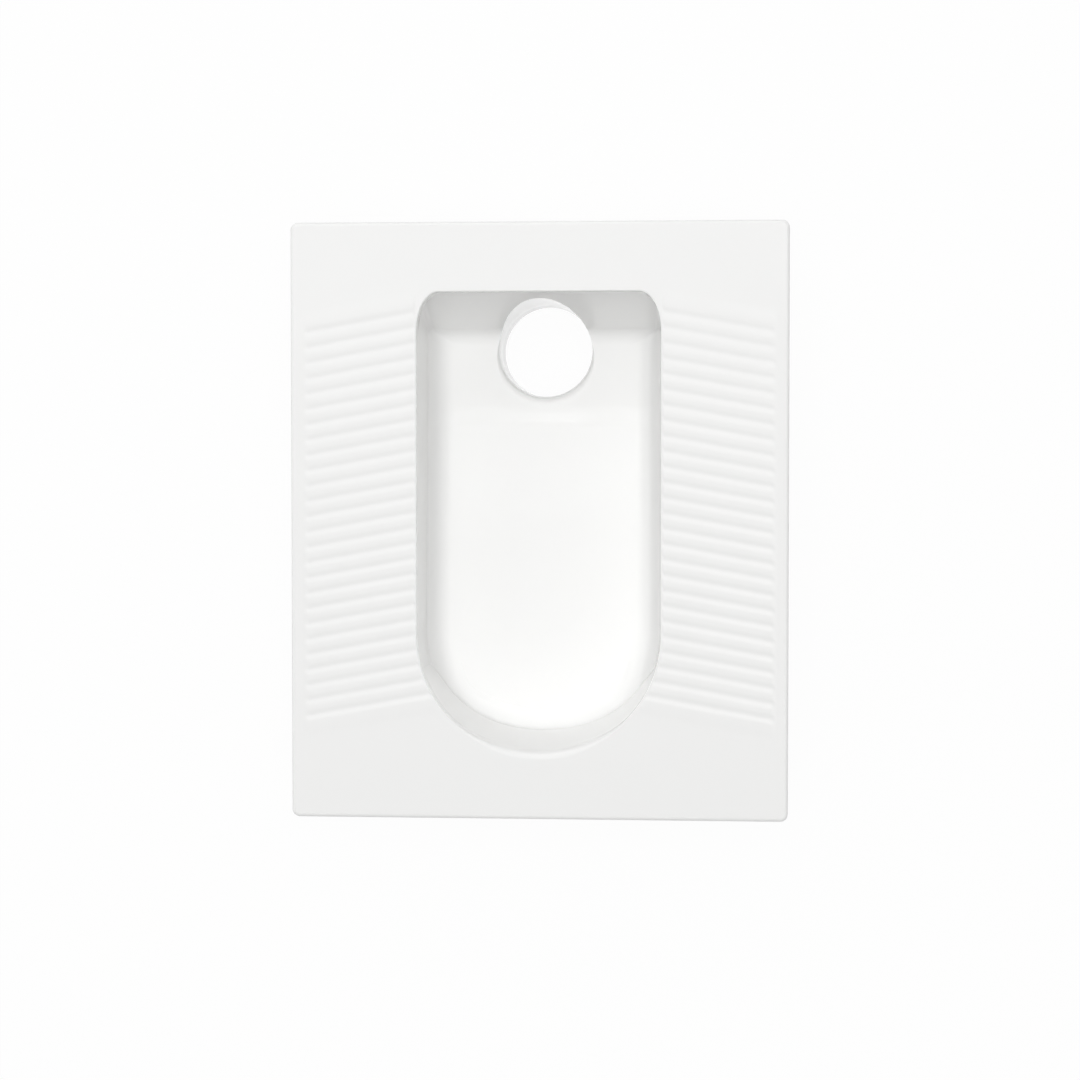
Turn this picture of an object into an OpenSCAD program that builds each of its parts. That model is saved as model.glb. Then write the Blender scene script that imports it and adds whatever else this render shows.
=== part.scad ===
// Squat toilet pan of glazed vitreous china, with a ribbed foot rest on each side
// of a round-ended bowl, a flush slot at the round end and a drain at the other.
// +Z is up, +Y points to the outlet end, and the origin is on the floor under
// the middle of the deck.

/* [Deck] */
// Width of the deck across both foot rests
deck_w = 500; // [470:1:560]
// Length of the deck from the flush end to the outlet end
deck_l = 600; // [580:1:680]
// Thickness of the deck plate and of the rim round the bowl
deck_t = 14; // [12:1:18]
// Radius of the deck's corners, seen from above
corner_r = 8; // [6:1:16]
// Rounding of the deck's upper edge
edge_r = 4; // [2:0.5:5]
// Width of the solid border that carries the rounded edge
border_w = 20; // [17:1:24]

/* [Bowl opening] */
// Width of the opening
open_w = 245; // [225:1:260]
// Deck left behind the straight end of the opening
open_back = 70; // [60:1:80]
// Deck left in front of the round end of the opening
open_front = 64; // [58:1:76]
// Radius of the two corners at the straight end
back_corner_r = 30; // [24:1:40]
// Width of the rim piece round the opening
rim_w = 20; // [18:1:22]
// Rounding of the rim's inner edge
rim_r = 3.5; // [2:0.5:5]

/* [Bowl] */
// Wall thickness of the bowl
wall_t = 12; // [9:0.5:13]
// Lean of the side walls from upright, in degrees
side_lean = 3; // [2:0.5:6]
// Lean of the wall at the outlet end, in degrees
back_lean = 16; // [10:1:20]
// Radius between the walls and the floor
fillet_r = 20; // [14:1:24]
// Depth of the floor below the deck at the round end
front_depth = 93; // [85:1:105]
// Fall of the floor from the round end to the brow
floor_fall = 19; // [12:1:26]
// Fall of the sump below the brow
sump_drop = 12; // [6:1:16]
// Distance from the brow to the edge of the outlet
brow_gap = 24; // [20:1:34]
// Radius of the bell mouth of the outlet
bell_r = 10; // [6:1:12]

/* [Outlet] */
// Outside diameter of the outlet spigot
spigot_d = 110; // [100:1:112]
// Wall of the outlet spigot
spigot_t = 6; // [5:0.5:9]
// Length of the spigot below the bowl's neck
spigot_l = 46; // [40:1:70]
// Height of the bowl's neck above the spigot
neck_h = 8; // [6:1:16]
// China left between the outlet and the straight end of the opening
outlet_gap = 5; // [4:0.5:12]
// Height of the collar at the top of the spigot
collar_h = 8; // [6:1:10]
// Height of the rubber ring under the collar
ring_h = 10; // [8:1:14]
// How far the rubber ring stands out from its seat
ring_w = 9; // [8:1:14]
// How far the ring's seat stands out from the spigot
ring_seat = 1; // [0.5:0.5:2]

/* [Flush way] */
// Width of the flush channel behind the lip
channel_w = 16; // [14:1:17]
// Thickness of the flush lip
lip_t = 8; // [7:0.5:9]
// Height of the flush slot under the lip
slot_h = 13; // [10:1:16]
// How far the lip's foot leans in from the wall
lip_lean = 13; // [8:1:16]
// Outside diameter of the inlet horn
horn_d = 56; // [52:1:60]
// Wall of the inlet horn
horn_t = 7; // [6:0.5:8]
// Depth of the inlet horn's axis below the deck
horn_depth = 56; // [52:1:60]
// Diameter of the flush pipe that the inlet seal grips
pipe_d = 32; // [28:1:34]
// Length of the inlet seal's sleeve inside the horn
sleeve_l = 26; // [20:1:30]
// Thickness of the inlet seal's outer flange
seal_flange_t = 5; // [4:0.5:7]

/* [Foot rests] */
// Distance from one groove to the next, along the pan
groove_pitch = 15.45; // [14.5:0.05:16]
// Width of one rib at its foot
rib_w = 10.5; // [8:0.5:12]
// Angle of the ribs to the pan's width, in degrees
rib_angle = 10.5; // [6:0.5:14]
// Height of the ribs above the deck
rib_rise = 1.1; // [0.8:0.1:2]
// Depth of the grooves below the deck
groove_sink = 1.2; // [0.8:0.1:2]
// Thickness of the plate under the ribs
tread_t = 3; // [2:0.5:5]
// Deck left between a foot rest and the deck's side
tread_margin = 11; // [9:1:20]
// Rim left between a foot rest and the opening
tread_gap = 4; // [4:0.5:8]
// Distance from the straight end to the first groove, at the opening
tread_back = 18.5; // [14:0.5:30]
// Least distance from the last groove to the round end, at the opening
tread_front = 61; // [50:1:80]

/* [Underside] */
// Height of the skirt below the deck plate
skirt_h = 62; // [56:1:70]
// Thickness of the skirt
skirt_t = 12; // [10:1:16]
// Gap left round the inlet horn in the skirt's arch
arch_gap = 8; // [5:1:12]
// Number of webs along each side
web_count = 4; // [2:1:5]
// Thickness of one web
web_t = 10; // [8:1:14]
// Height of the webs under the deck plate
web_h = 34; // [24:1:44]
// Width of the cross leg under the round end
leg_w = 150; // [120:1:170]
// Thickness of the cross leg, along the pan
leg_t = 26; // [20:1:34]
// Distance from the round end's centre to the cross leg
leg_back = 26; // [10:1:50]
// Radius of the arch through the cross leg
leg_arch_r = 38; // [28:1:42]

/* [Hidden] */
$fn = 72;

china = "#f4f4f2";
china_under = "#e9e6df";
rubber = "#2c2c2e";

// Levels and places that follow from the sizes above
brow_depth = front_depth + floor_fall;
sump_depth = brow_depth + sump_drop;
deck_h = sump_depth + wall_t + bell_r + neck_h + spigot_l;
deck_under = deck_h - deck_t;
back_y = deck_l / 2 - open_back;
round_y = open_front - deck_l / 2;
open_r = open_w / 2;
round_cy = round_y + open_r;
bore_r = spigot_d / 2 - spigot_t;
outlet_y = back_y - outlet_gap - bore_r;
brow_y = outlet_y - bore_r - brow_gap;
neck_r = bore_r + wall_t;

// As many grooves as fit along the opening
first_groove_y = back_y - tread_back;
groove_count = floor((first_groove_y - round_y - tread_front) / groove_pitch) + 1;
last_groove_y = first_groove_y - (groove_count - 1) * groove_pitch;

// Stations round one half of the bowl's outline: how many lie on each stretch
corner_steps = 6;
sump_steps = 8;
side_steps = 2;
round_steps = 20;

// Steps down the bowl's wall, its fillet and the outlet's bell mouth
wall_steps = 2;
fillet_steps = 6;
bell_steps = 4;
outlet_steps = 60;

// Share of the way from the brow to the outlet over which the sump falls
sump_run = 0.75;

// The bell mouth fades out where the sine of the angle round the outlet reaches this
bell_end = 0.35;

// The flush channel opens out between these angles from the side of the round end
channel_from = 14;
channel_full = 44;

function smooth(t) = let (c = max(0, min(1, t))) c * c * (3 - 2 * c);
function mix(a, b, t) = a + (b - a) * t;

// Depth of the bowl's floor below the deck, at a place along the pan
function floor_depth(y) =
    y < brow_y
    ? mix(front_depth, brow_depth, (y - round_y) / (brow_y - round_y))
    : brow_depth + sump_drop * smooth((y - brow_y) / (sump_run * brow_gap));

// Width of the flush channel at an angle from the side of the round end
function channel_at(angle) = channel_w * smooth((angle - channel_from) / (channel_full - channel_from));

// A station is [place on the outline, outward normal, shares of the side wall's and
// the end wall's run by which it moves in, share of the side wall's drop]
side_end_y = back_y - back_corner_r;
corner_x = open_r - back_corner_r;

stations = concat(
    [for (i = [0 : corner_steps - 1])
        let (t = i / corner_steps, n = [sin(90 * t), cos(90 * t)])
        [[corner_x, side_end_y] + back_corner_r * n, n, [[1, 0], [0, 1]], smooth(t)]],
    [for (i = [0 : sump_steps - 1])
        let (t = i / sump_steps)
        [[open_r, mix(side_end_y, brow_y, t)], [1, 0], [[1, 0], [0, 1 - t]], 1]],
    [for (i = [0 : side_steps - 1])
        [[open_r, mix(brow_y, round_cy, i / side_steps)], [1, 0], [[1, 0], [0, 0]], 1]],
    [for (i = [0 : round_steps])
        let (a = 90 * i / round_steps, n = [cos(a), -sin(a)])
        [[0, round_cy] + (open_r + channel_at(a)) * n, n, [n, [0, 0]], 1]]
);

// How far in from the outline the wall lies at step k of its profile: h is the floor's
// drop, and r is the fillet's radius
function wall_run(h, lean, r, k) =
    let (tangent = r * tan((90 - lean) / 2), foot = h * tan(lean))
    k <= wall_steps
    ? (foot - tangent * sin(lean)) * k / wall_steps
    : foot + tangent - r * sin((90 - lean) * (1 - (k - wall_steps) / fillet_steps));

// How far down the wall lies at step k of its profile
function wall_drop(h, lean, r, k) =
    let (tangent = r * tan((90 - lean) / 2))
    k <= wall_steps
    ? (h - tangent * cos(lean)) * k / wall_steps
    : h - r + r * cos((90 - lean) * (1 - (k - wall_steps) / fillet_steps));

// One station's points from the rim down to the floor, on a face grown outwards by o
function station_points(s, o) =
    let (p = s[0] + o * s[1], r = fillet_r + o, h = floor_depth(p[1]) + o - deck_t)
    [for (k = [0 : wall_steps + fillet_steps])
        let (
            b = p - wall_run(h, side_lean, r, k) * s[2][0] - wall_run(h, back_lean, r, k) * s[2][1],
            drop = mix(wall_drop(h, back_lean, r, k), wall_drop(h, side_lean, r, k), s[3]),
            low = k == wall_steps + fillet_steps ? floor_depth(b[1]) + o - deck_t : 0
        )
        [b[0], b[1], deck_under - max(low, drop)]];

function mirror_x(points) = [for (v = points) [-v[0], v[1], v[2]]];

// The bowl's hollow as a closed solid, grown outwards by o and carried up by rise
module well(o, rise) {
    half = [for (s = stations) let (v = station_points(s, o)) concat([v[0] + [0, 0, rise + 0.001]], v)];
    n = len(half);
    loop = concat(half, [for (i = [n - 2 : -1 : 0]) mirror_x(half[i])]);
    count = len(loop);
    m = len(half[0]);
    function at(i, k) = (i % count) * m + k;
    function left(i) = count - 1 - i;
    faces = concat(
        [[for (i = [0 : count - 1]) at(i, 0)]],
        [for (i = [0 : count - 1], k = [0 : m - 2]) [at(i, k), at(i + 1, k + 1), at(i + 1, k)]],
        [for (i = [0 : count - 1], k = [0 : m - 2]) [at(i, k), at(i, k + 1), at(i + 1, k + 1)]],
        [for (i = [0 : n - 2]) [at(i, m - 1), at(left(i), m - 1), at(i + 1, m - 1)]],
        [for (i = [0 : n - 3]) [at(i + 1, m - 1), at(left(i), m - 1), at(left(i + 1), m - 1)]]
    );
    polyhedron(points = [for (column = loop) each column], faces = faces, convexity = 8);
}

// What the outlet takes out of the bowl: a bore, with a bell mouth that fades out
// towards the end wall
module outlet_way() {
    floor_z = deck_h - sump_depth;
    function bell_at(phi) = bell_r * smooth((bell_end - sin(phi)) / (1 + bell_end));
    profile = concat(
        [[0, spigot_l - 1]],
        [for (k = [0 : bell_steps])
            let (a = 90 * k / bell_steps)
            [1 - cos(a), floor_z - bell_r * (1 - sin(a))]],
        [[1, deck_h]]
    );
    m = len(profile);
    points = [for (i = [0 : outlet_steps - 1])
        let (phi = -360 * i / outlet_steps)
        for (step = profile)
            let (r = bore_r + bell_at(phi) * step[0])
            [r * cos(phi), outlet_y + r * sin(phi), step[1]]];
    function at(i, k) = (i % outlet_steps) * m + k;
    faces = concat(
        [[for (i = [outlet_steps - 1 : -1 : 0]) at(i, 0)]],
        [for (i = [0 : outlet_steps - 1], k = [0 : m - 2]) [at(i, k), at(i + 1, k), at(i + 1, k + 1)]],
        [for (i = [0 : outlet_steps - 1], k = [0 : m - 2]) [at(i, k), at(i + 1, k + 1), at(i, k + 1)]],
        [[for (i = [0 : outlet_steps - 1]) at(i, m - 1)]]
    );
    polyhedron(points = points, faces = faces, convexity = 4);
}

// The whole bowl: its walls and floor, and the neck round the outlet
module bowl_casting()
    difference() {
        union() {
            well(wall_t, 0);
            neck_top = deck_under - outlet_gap / tan(back_lean);
            translate([0, outlet_y, spigot_l]) cylinder(r = neck_r, h = neck_top - spigot_l);
        }
        well(0, 1);
        outlet_way();
        translate([0, round_y, deck_h - horn_depth])
            rotate([90, 0, 0]) cylinder(d = horn_d, h = channel_w + 2 * wall_t);
    }

// Outline of the opening, grown outwards
module opening_2d(grow) {
    r = open_r + grow;
    cr = back_corner_r + grow;
    translate([0, round_cy]) circle(r = r);
    translate([-r, round_cy]) square([2 * r, side_end_y - round_cy]);
    translate([cr - r, round_cy]) square([2 * (r - cr), back_y + grow - round_cy]);
    for (side = [-1, 1]) translate([side * (r - cr), side_end_y]) circle(r = cr);
}

// Outline of the deck, drawn in from its edge
module deck_2d(inset) {
    r = max(corner_r - inset, 0.5);
    w = deck_w / 2 - inset;
    l = deck_l / 2 - inset;
    square([2 * (w - r), 2 * l], center = true);
    square([2 * w, 2 * (l - r)], center = true);
    for (x = [-1, 1], y = [-1, 1]) translate([x * (w - r), y * (l - r)]) circle(r = r);
}

// Section of the deck's border, standing outwards from x = start
module border_section(start, width) {
    translate([start, 0]) square([width, deck_t - edge_r]);
    translate([start, 0]) square([width - edge_r, deck_t]);
    translate([start + width - edge_r, deck_t - edge_r]) circle(r = edge_r);
}

// Slab with a rounded upper edge all round
module rounded_slab() {
    straight_w = deck_w - 2 * corner_r;
    straight_l = deck_l - 2 * corner_r;
    linear_extrude(height = deck_t)
        square([deck_w - 2 * border_w, deck_l - 2 * border_w], center = true);
    for (x = [0, 1])
        mirror([x, 0, 0])
            translate([0, straight_l / 2, 0])
                rotate([90, 0, 0])
                    linear_extrude(height = straight_l) border_section(deck_w / 2 - border_w, border_w);
    for (y = [0, 1])
        mirror([0, y, 0])
            translate([-straight_w / 2, 0, 0])
                rotate([90, 0, 90])
                    linear_extrude(height = straight_w) border_section(deck_l / 2 - border_w, border_w);
    for (x = [0, 1], y = [0, 1])
        mirror([x, 0, 0])
            mirror([0, y, 0])
                translate([straight_w / 2, straight_l / 2, 0])
                    rotate_extrude(angle = 90) border_section(0, corner_r);
}

// Outline of the right-hand foot rest: between its end grooves, clear of the rim
module tread_2d() {
    slope = tan(rib_angle);
    inner_x = open_r;
    outer_x = deck_w / 2 - tread_margin;
    half_groove = (groove_pitch - rib_w / cos(rib_angle)) / 2;
    start_y = first_groove_y + half_groove;
    end_y = last_groove_y - half_groove;
    reach = outer_x - inner_x;
    difference() {
        polygon([[inner_x / 2, start_y + slope * inner_x / 2], [outer_x, start_y - slope * reach],
                 [outer_x, end_y - slope * reach], [inner_x / 2, end_y + slope * inner_x / 2]]);
        opening_2d(tread_gap);
    }
}

// Space that the right-hand foot rest takes out of the deck and the rim
module tread_pocket() {
    translate([0, 0, deck_h - groove_sink - tread_t])
        linear_extrude(height = tread_t + groove_sink + 1) tread_2d();
}

module both_pockets() {
    tread_pocket();
    mirror([1, 0, 0]) tread_pocket();
}

// Ribs of the right-hand foot rest: long round-backed bars with ball ends
module rib_bars() {
    height = rib_rise + groove_sink;
    bar_r = (rib_w * rib_w / 4 + height * height) / (2 * height);
    axis_z = deck_h + rib_rise - bar_r;
    outer_x = deck_w / 2 - tread_margin - rib_w / 2;
    reach = (outer_x - open_r) / cos(rib_angle);
    bar_l = reach + open_r / 2;
    for (i = [0 : groove_count - 2])
        translate([outer_x, first_groove_y - (i + 0.5) * groove_pitch - reach * sin(rib_angle), axis_z])
            rotate([0, -90, -rib_angle]) {
                cylinder(r = bar_r, h = bar_l);
                sphere(r = bar_r);
            }
}

// One foot rest: a plate sunk in the deck, with its ribs on top
module tread() {
    translate([0, 0, deck_h - groove_sink - tread_t]) linear_extrude(height = tread_t) tread_2d();
    intersection() {
        rib_bars();
        translate([0, 0, deck_h - groove_sink - tread_t / 2])
            linear_extrude(height = tread_t / 2 + groove_sink + rib_rise + 1) tread_2d();
    }
}

// Flat top of the pan, open for the rim and sunk for the foot rests
module deck() color(china)
    difference() {
        translate([0, 0, deck_under]) rounded_slab();
        translate([0, 0, deck_under - 1]) linear_extrude(height = deck_t + 2) opening_2d(rim_w);
        both_pockets();
    }

// Section of the rim, standing outwards from x = start
module rim_section(start) {
    translate([start, 0]) square([rim_w, deck_t - rim_r]);
    translate([start + rim_r, 0]) square([rim_w - rim_r, deck_t]);
    translate([start + rim_r, deck_t - rim_r]) circle(r = rim_r);
}

// Rolled edge of the bowl, let into the deck
module rim() color(china)
    difference() {
        translate([0, 0, deck_under]) {
            translate([0, round_cy, 0])
                rotate([0, 0, 180])
                    rotate_extrude(angle = 180) rim_section(open_r);
            for (x = [0, 1])
                mirror([x, 0, 0]) {
                    translate([0, side_end_y, 0])
                        rotate([90, 0, 0])
                            linear_extrude(height = side_end_y - round_cy) rim_section(open_r);
                    translate([open_r - back_corner_r, side_end_y, 0])
                        rotate_extrude(angle = 90) rim_section(back_corner_r);
                }
            translate([back_corner_r - open_r, back_y - back_corner_r, 0])
                rotate([90, 0, 90])
                    linear_extrude(height = 2 * (open_r - back_corner_r)) rim_section(back_corner_r);
        }
        both_pockets();
    }

module right_tread() color(china) tread();

module left_tread() color(china) mirror([1, 0, 0]) tread();

// Turned-down edge all round the pan, below the deck plate
module skirt_ring()
    translate([0, 0, deck_under - skirt_h])
        linear_extrude(height = skirt_h)
            difference() {
                deck_2d(0);
                deck_2d(skirt_t);
            }

// One side of the skirt, over the whole length of the pan
module side_skirt()
    intersection() {
        skirt_ring();
        translate([deck_w / 2 - skirt_t, -deck_l / 2, 0]) cube([skirt_t, deck_l, deck_h]);
    }

module right_skirt() color(china_under) side_skirt();

module left_skirt() color(china_under) mirror([1, 0, 0]) side_skirt();

// One end of the skirt, between the sides
module end_skirt()
    translate([skirt_t - deck_w / 2, deck_l / 2 - skirt_t, deck_under - skirt_h])
        cube([deck_w - 2 * skirt_t, skirt_t, skirt_h]);

module outlet_end_skirt() color(china_under) end_skirt();

// Flush end of the skirt, with an arch for the inlet horn
module flush_end_skirt() color(china_under)
    difference() {
        mirror([0, 1, 0]) end_skirt();
        arch_r = horn_d / 2 + arch_gap;
        translate([0, -deck_l / 2 - 1, deck_h - horn_depth]) {
            rotate([-90, 0, 0]) cylinder(r = arch_r, h = skirt_t + 2);
            translate([-arch_r, 0, -skirt_h]) cube([2 * arch_r, skirt_t + 2, skirt_h]);
        }
    }

// Upright webs between the bowl's sides and the skirt
module deck_webs() color(china_under) {
    inner_x = open_r + wall_t;
    outer_x = deck_w / 2 - skirt_t;
    span = side_end_y - round_cy - web_t;
    for (x = [0, 1], i = [0 : web_count - 1])
        mirror([x, 0, 0])
            translate([0, round_cy + web_t + i * span / (web_count - 1), deck_under])
                rotate([90, 0, 0])
                    linear_extrude(height = web_t)
                        polygon([[inner_x, 0], [outer_x, 0], [outer_x, -web_h / 2],
                                 [inner_x - web_h * tan(side_lean), -web_h]]);
}

// Half space on one side of the brow: 1 is the outlet side, -1 the flush side
module beside_brow(side)
    translate([-deck_w / 2, side > 0 ? brow_y : brow_y - deck_l, 0]) cube([deck_w, deck_l, deck_h]);

// Flush end of the bowl, with its round wall and sloping floor
module bowl() color(china)
    intersection() {
        bowl_casting();
        beside_brow(-1);
    }

// Outlet end of the bowl: from the brow down into the sump, with the neck under it
module sump() color(china)
    intersection() {
        bowl_casting();
        beside_brow(1);
    }

// Lip that hangs in front of the flush channel at the round end
lip_steps = 40;
lip_edge = 1.5;
lip_foot_z = deck_h - front_depth + slot_h;

// Four corners of the lip's section at an angle from the side of the round end
function lip_section(angle) =
    let (
        a = min(angle, 180 - angle),
        t = min(lip_t, channel_at(a)),
        h = deck_under - lip_foot_z,
        inset = h * tan(side_lean) + lip_lean * smooth((a - channel_from) / (90 - channel_from)),
        dir = [cos(angle), -sin(angle)],
        place = function (radius, z) [radius * dir[0], round_cy + radius * dir[1], z]
    )
    [place(open_r, deck_under), place(open_r - inset, lip_foot_z + lip_edge),
     place(open_r - inset + lip_edge, lip_foot_z), place(open_r - inset + t, lip_foot_z),
     place(open_r + t, deck_under)];

module flush_lip() color(china) {
    first = channel_from + 6;
    sections = [for (i = [0 : lip_steps]) lip_section(mix(first, 180 - first, i / lip_steps))];
    m = len(sections[0]);
    points = [for (section = sections) each section];
    faces = concat(
        [for (i = [0 : lip_steps - 1], k = [0 : m - 1])
            [i * m + k, (i + 1) * m + k, (i + 1) * m + (k + 1) % m]],
        [for (i = [0 : lip_steps - 1], k = [0 : m - 1])
            [i * m + k, (i + 1) * m + (k + 1) % m, i * m + (k + 1) % m]],
        [[for (k = [0 : m - 1]) k]],
        [[for (k = [m - 1 : -1 : 0]) lip_steps * m + k]]
    );
    polyhedron(points = points, faces = faces, convexity = 4);
}

// Socket for the flush pipe, let through the wall of the flush channel
horn_inner_y = round_y - channel_w;
horn_outer_y = -deck_l / 2 + skirt_t / 2;
horn_l = horn_inner_y - horn_outer_y;

module inlet_horn() color(china_under)
    translate([0, horn_inner_y, deck_h - horn_depth])
        rotate([90, 0, 0])
            difference() {
                cylinder(d = horn_d, h = horn_l);
                translate([0, 0, -1]) cylinder(d = horn_d - 2 * horn_t, h = horn_l + 2);
            }

// Rubber sleeve that grips the flush pipe inside the horn
seal_lap = 2;

module inlet_seal() color(rubber)
    translate([0, horn_outer_y, deck_h - horn_depth])
        rotate([90, 0, 0])
            difference() {
                union() {
                    cylinder(r = horn_d / 2 + seal_lap, h = seal_flange_t);
                    translate([0, 0, -sleeve_l]) cylinder(d = horn_d - 2 * horn_t, h = sleeve_l + 1);
                }
                translate([0, 0, -sleeve_l - 1]) cylinder(d = pipe_d, h = sleeve_l + seal_flange_t + 2);
            }

// Outlet spigot with the collar that carries the bowl's neck
module outlet_spigot() color(china_under)
    translate([0, outlet_y, 0])
        difference() {
            union() {
                cylinder(d = spigot_d, h = spigot_l);
                translate([0, 0, spigot_l - collar_h - ring_h])
                    cylinder(r = spigot_d / 2 + ring_seat, h = ring_h + 1);
                translate([0, 0, spigot_l - collar_h]) cylinder(r = neck_r, h = collar_h);
            }
            translate([0, 0, -1]) cylinder(r = bore_r, h = spigot_l + 2);
        }

// Rubber ring round the spigot, under its collar, with a sealing fin
fin_t = 2;

module outlet_seal() color(rubber)
    translate([0, outlet_y, spigot_l - collar_h - ring_h])
        rotate_extrude()
            translate([spigot_d / 2 + ring_seat, 0])
                polygon([[0, 0], [ring_w / 2, 0], [ring_w, ring_h / 2], [ring_w, ring_h / 2 + fin_t],
                         [ring_w / 2, ring_h / 2], [ring_w / 2, ring_h], [0, ring_h]]);

// Arched leg that carries the round end, cut to the slope of the bowl's floor
module cross_leg() color(china_under) {
    leg_y = round_cy - leg_back;
    under = function (y) deck_h - floor_depth(y) - wall_t;
    difference() {
        translate([leg_w / 2, 0, 0])
            rotate([90, 0, -90])
                linear_extrude(height = leg_w)
                    polygon([[leg_t / 2 - leg_y, 0], [-leg_t / 2 - leg_y, 0],
                             [-leg_t / 2 - leg_y, under(leg_y + leg_t / 2)],
                             [leg_t / 2 - leg_y, under(leg_y - leg_t / 2)]]);
        translate([0, leg_y, 0])
            rotate([90, 0, 0]) cylinder(r = leg_arch_r, h = leg_t + 2, center = true);
    }
}

deck();
rim();
left_tread();
right_tread();
left_skirt();
right_skirt();
outlet_end_skirt();
flush_end_skirt();
deck_webs();
bowl();
sump();
flush_lip();
inlet_horn();
inlet_seal();
outlet_spigot();
outlet_seal();
cross_leg();
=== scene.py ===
"""Looks of a glazed squat toilet pan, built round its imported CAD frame."""

import logging
import math
from dataclasses import dataclass, field
from enum import Enum
from typing import Any, Callable, Sequence

import bmesh
import bpy
from mathutils import Matrix, Vector
from mathutils.geometry import tessellate_polygon


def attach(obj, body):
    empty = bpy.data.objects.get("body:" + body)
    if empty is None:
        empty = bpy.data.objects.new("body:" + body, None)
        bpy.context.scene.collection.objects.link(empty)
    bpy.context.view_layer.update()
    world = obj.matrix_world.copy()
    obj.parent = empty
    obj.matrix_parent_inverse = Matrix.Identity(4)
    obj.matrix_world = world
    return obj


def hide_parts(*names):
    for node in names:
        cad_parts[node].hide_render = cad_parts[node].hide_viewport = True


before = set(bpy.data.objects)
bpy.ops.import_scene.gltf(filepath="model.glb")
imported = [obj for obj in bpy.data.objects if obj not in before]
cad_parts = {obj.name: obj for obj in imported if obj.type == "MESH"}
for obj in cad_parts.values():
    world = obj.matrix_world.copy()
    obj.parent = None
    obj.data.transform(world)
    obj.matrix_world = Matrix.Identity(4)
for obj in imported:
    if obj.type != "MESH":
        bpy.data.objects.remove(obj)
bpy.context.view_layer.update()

LOG = logging.getLogger("squat_pan")
MM = 0.001
CRISP = 38.0  # angle in degrees past which an edge stays crisp
NEVER_CRISP = 180.0
SLIVER_SHARE = 0.25  # of the weld distance, under which a face counts as flattened
GLAZED, BARE = 0, 1  # numbers of a casting's two materials
# The deck's corners in order: the signs of x and y, and the angle that the corner starts at
CORNERS = ((1, 1, 0), (-1, 1, 90), (-1, -1, 180), (1, -1, 270))

Point2 = tuple[float, float]
Point3 = tuple[float, float, float]
Loop = list[Point3]
Steps = tuple[int, int, int, int, int, int]
Tree = bpy.types.NodeTree
Socket = bpy.types.NodeSocket
Material = bpy.types.Material
Piece = bpy.types.Object


class Side(Enum):
    """Side of the pan's long axis that a piece lies on."""

    RIGHT = 1
    LEFT = -1


class Axis(Enum):
    """Axis that a turned piece runs along, and the way its length grows."""

    UP = (0.0, 0.0, 1.0)
    TO_FLUSH_END = (0.0, -1.0, 0.0)


def linear(code: str) -> tuple[float, ...]:
    """Turns an sRGB hex colour to a linear one.

    Args:
        code: Colour such as "#f4f4f2".

    Returns:
        Linear red, green and blue, with alpha 1.
    """
    parts = [int(code[i : i + 2], 16) / 255 for i in (1, 3, 5)]
    return (*(c / 12.92 if c <= 0.04045 else ((c + 0.055) / 1.055) ** 2.4 for c in parts), 1.0)


def add_node(
    tree: Tree, kind: str, inputs: dict[Any, Any] | None = None, **settings: Any
) -> bpy.types.NodeOutputs:
    """Adds a node to a tree, with its inputs and its settings.

    Args:
        tree: Shader or geometry tree.
        kind: Node's type name.
        inputs: Input name or number, with a plain value or the output socket to link.
        **settings: Properties of the node.

    Returns:
        The new node's outputs.
    """
    node = tree.nodes.new(kind)
    for name, value in settings.items():
        setattr(node, name, value)
    for name, value in (inputs or {}).items():
        if isinstance(value, Socket):
            tree.links.new(value, node.inputs[name])
        else:
            node.inputs[name].default_value = value
    return node.outputs


def cleared(owner: Material | bpy.types.World) -> Tree:
    """Turns on the nodes of a material or a world, and empties its tree.

    Args:
        owner: Material or world.

    Returns:
        Its empty tree.
    """
    owner.use_nodes = True
    owner.node_tree.nodes.clear()
    return owner.node_tree


def sharp_rays(tree: Tree) -> Socket:
    """Adds the nodes that part the rays that see a surface from those that only light.

    Args:
        tree: Shader tree.

    Returns:
        Output that is 1 for camera, glossy and transmission rays.
    """
    ray = add_node(tree, "ShaderNodeLightPath")
    seen: Any = ray["Is Camera Ray"]
    for other in (ray["Is Glossy Ray"], ray["Is Transmission Ray"]):
        seen = add_node(tree, "ShaderNodeMath", {0: seen, 1: other}, operation="MAXIMUM")[0]
    return seen


def add_object(name: str, data: bpy.types.ID) -> Piece:
    """Adds an object to the scene.

    Args:
        name: Its name.
        data: Its mesh, lamp or camera.

    Returns:
        The new object.
    """
    made = bpy.data.objects.new(name, data)
    bpy.context.scene.collection.objects.link(made)
    return made


def smooth(t: float) -> float:
    """Eases a share between 0 and 1, flat at both ends."""
    c = clamp(t, 0.0, 1.0)
    return c * c * (3 - 2 * c)


def mix(a: float, b: float, t: float) -> float:
    """Goes the share t of the way from a to b."""
    return a + (b - a) * t


def clamp(value: float, least: float, most: float) -> float:
    """Keeps a value between two bounds."""
    return max(least, min(most, value))


def flip(item: Any) -> Any:
    """Mirrors a point, or every point of a list, across the pan's long axis."""
    return [flip(one) for one in item] if isinstance(item, list) else (-item[0], *item[1:])


def mirrored(half: list[Any]) -> list[Any]:
    """Closes a half outline, of points or of columns, by its mirror image."""
    return half + flip(half[1:-1])[::-1]


def arc(centre: Point2, radius: float, start: float, end: float, steps: int) -> list[Point2]:
    """Points on an arc.

    Args:
        centre: Centre of the arc.
        radius: Its radius.
        start: First angle in degrees.
        end: Last angle in degrees.
        steps: Number of steps.

    Returns:
        Points from start to end.
    """
    angles = [math.radians(mix(start, end, i / steps)) for i in range(steps + 1)]
    return [(centre[0] + radius * math.cos(a), centre[1] + radius * math.sin(a)) for a in angles]


# --- Finishes ---------------------------------------------------------------------


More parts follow.
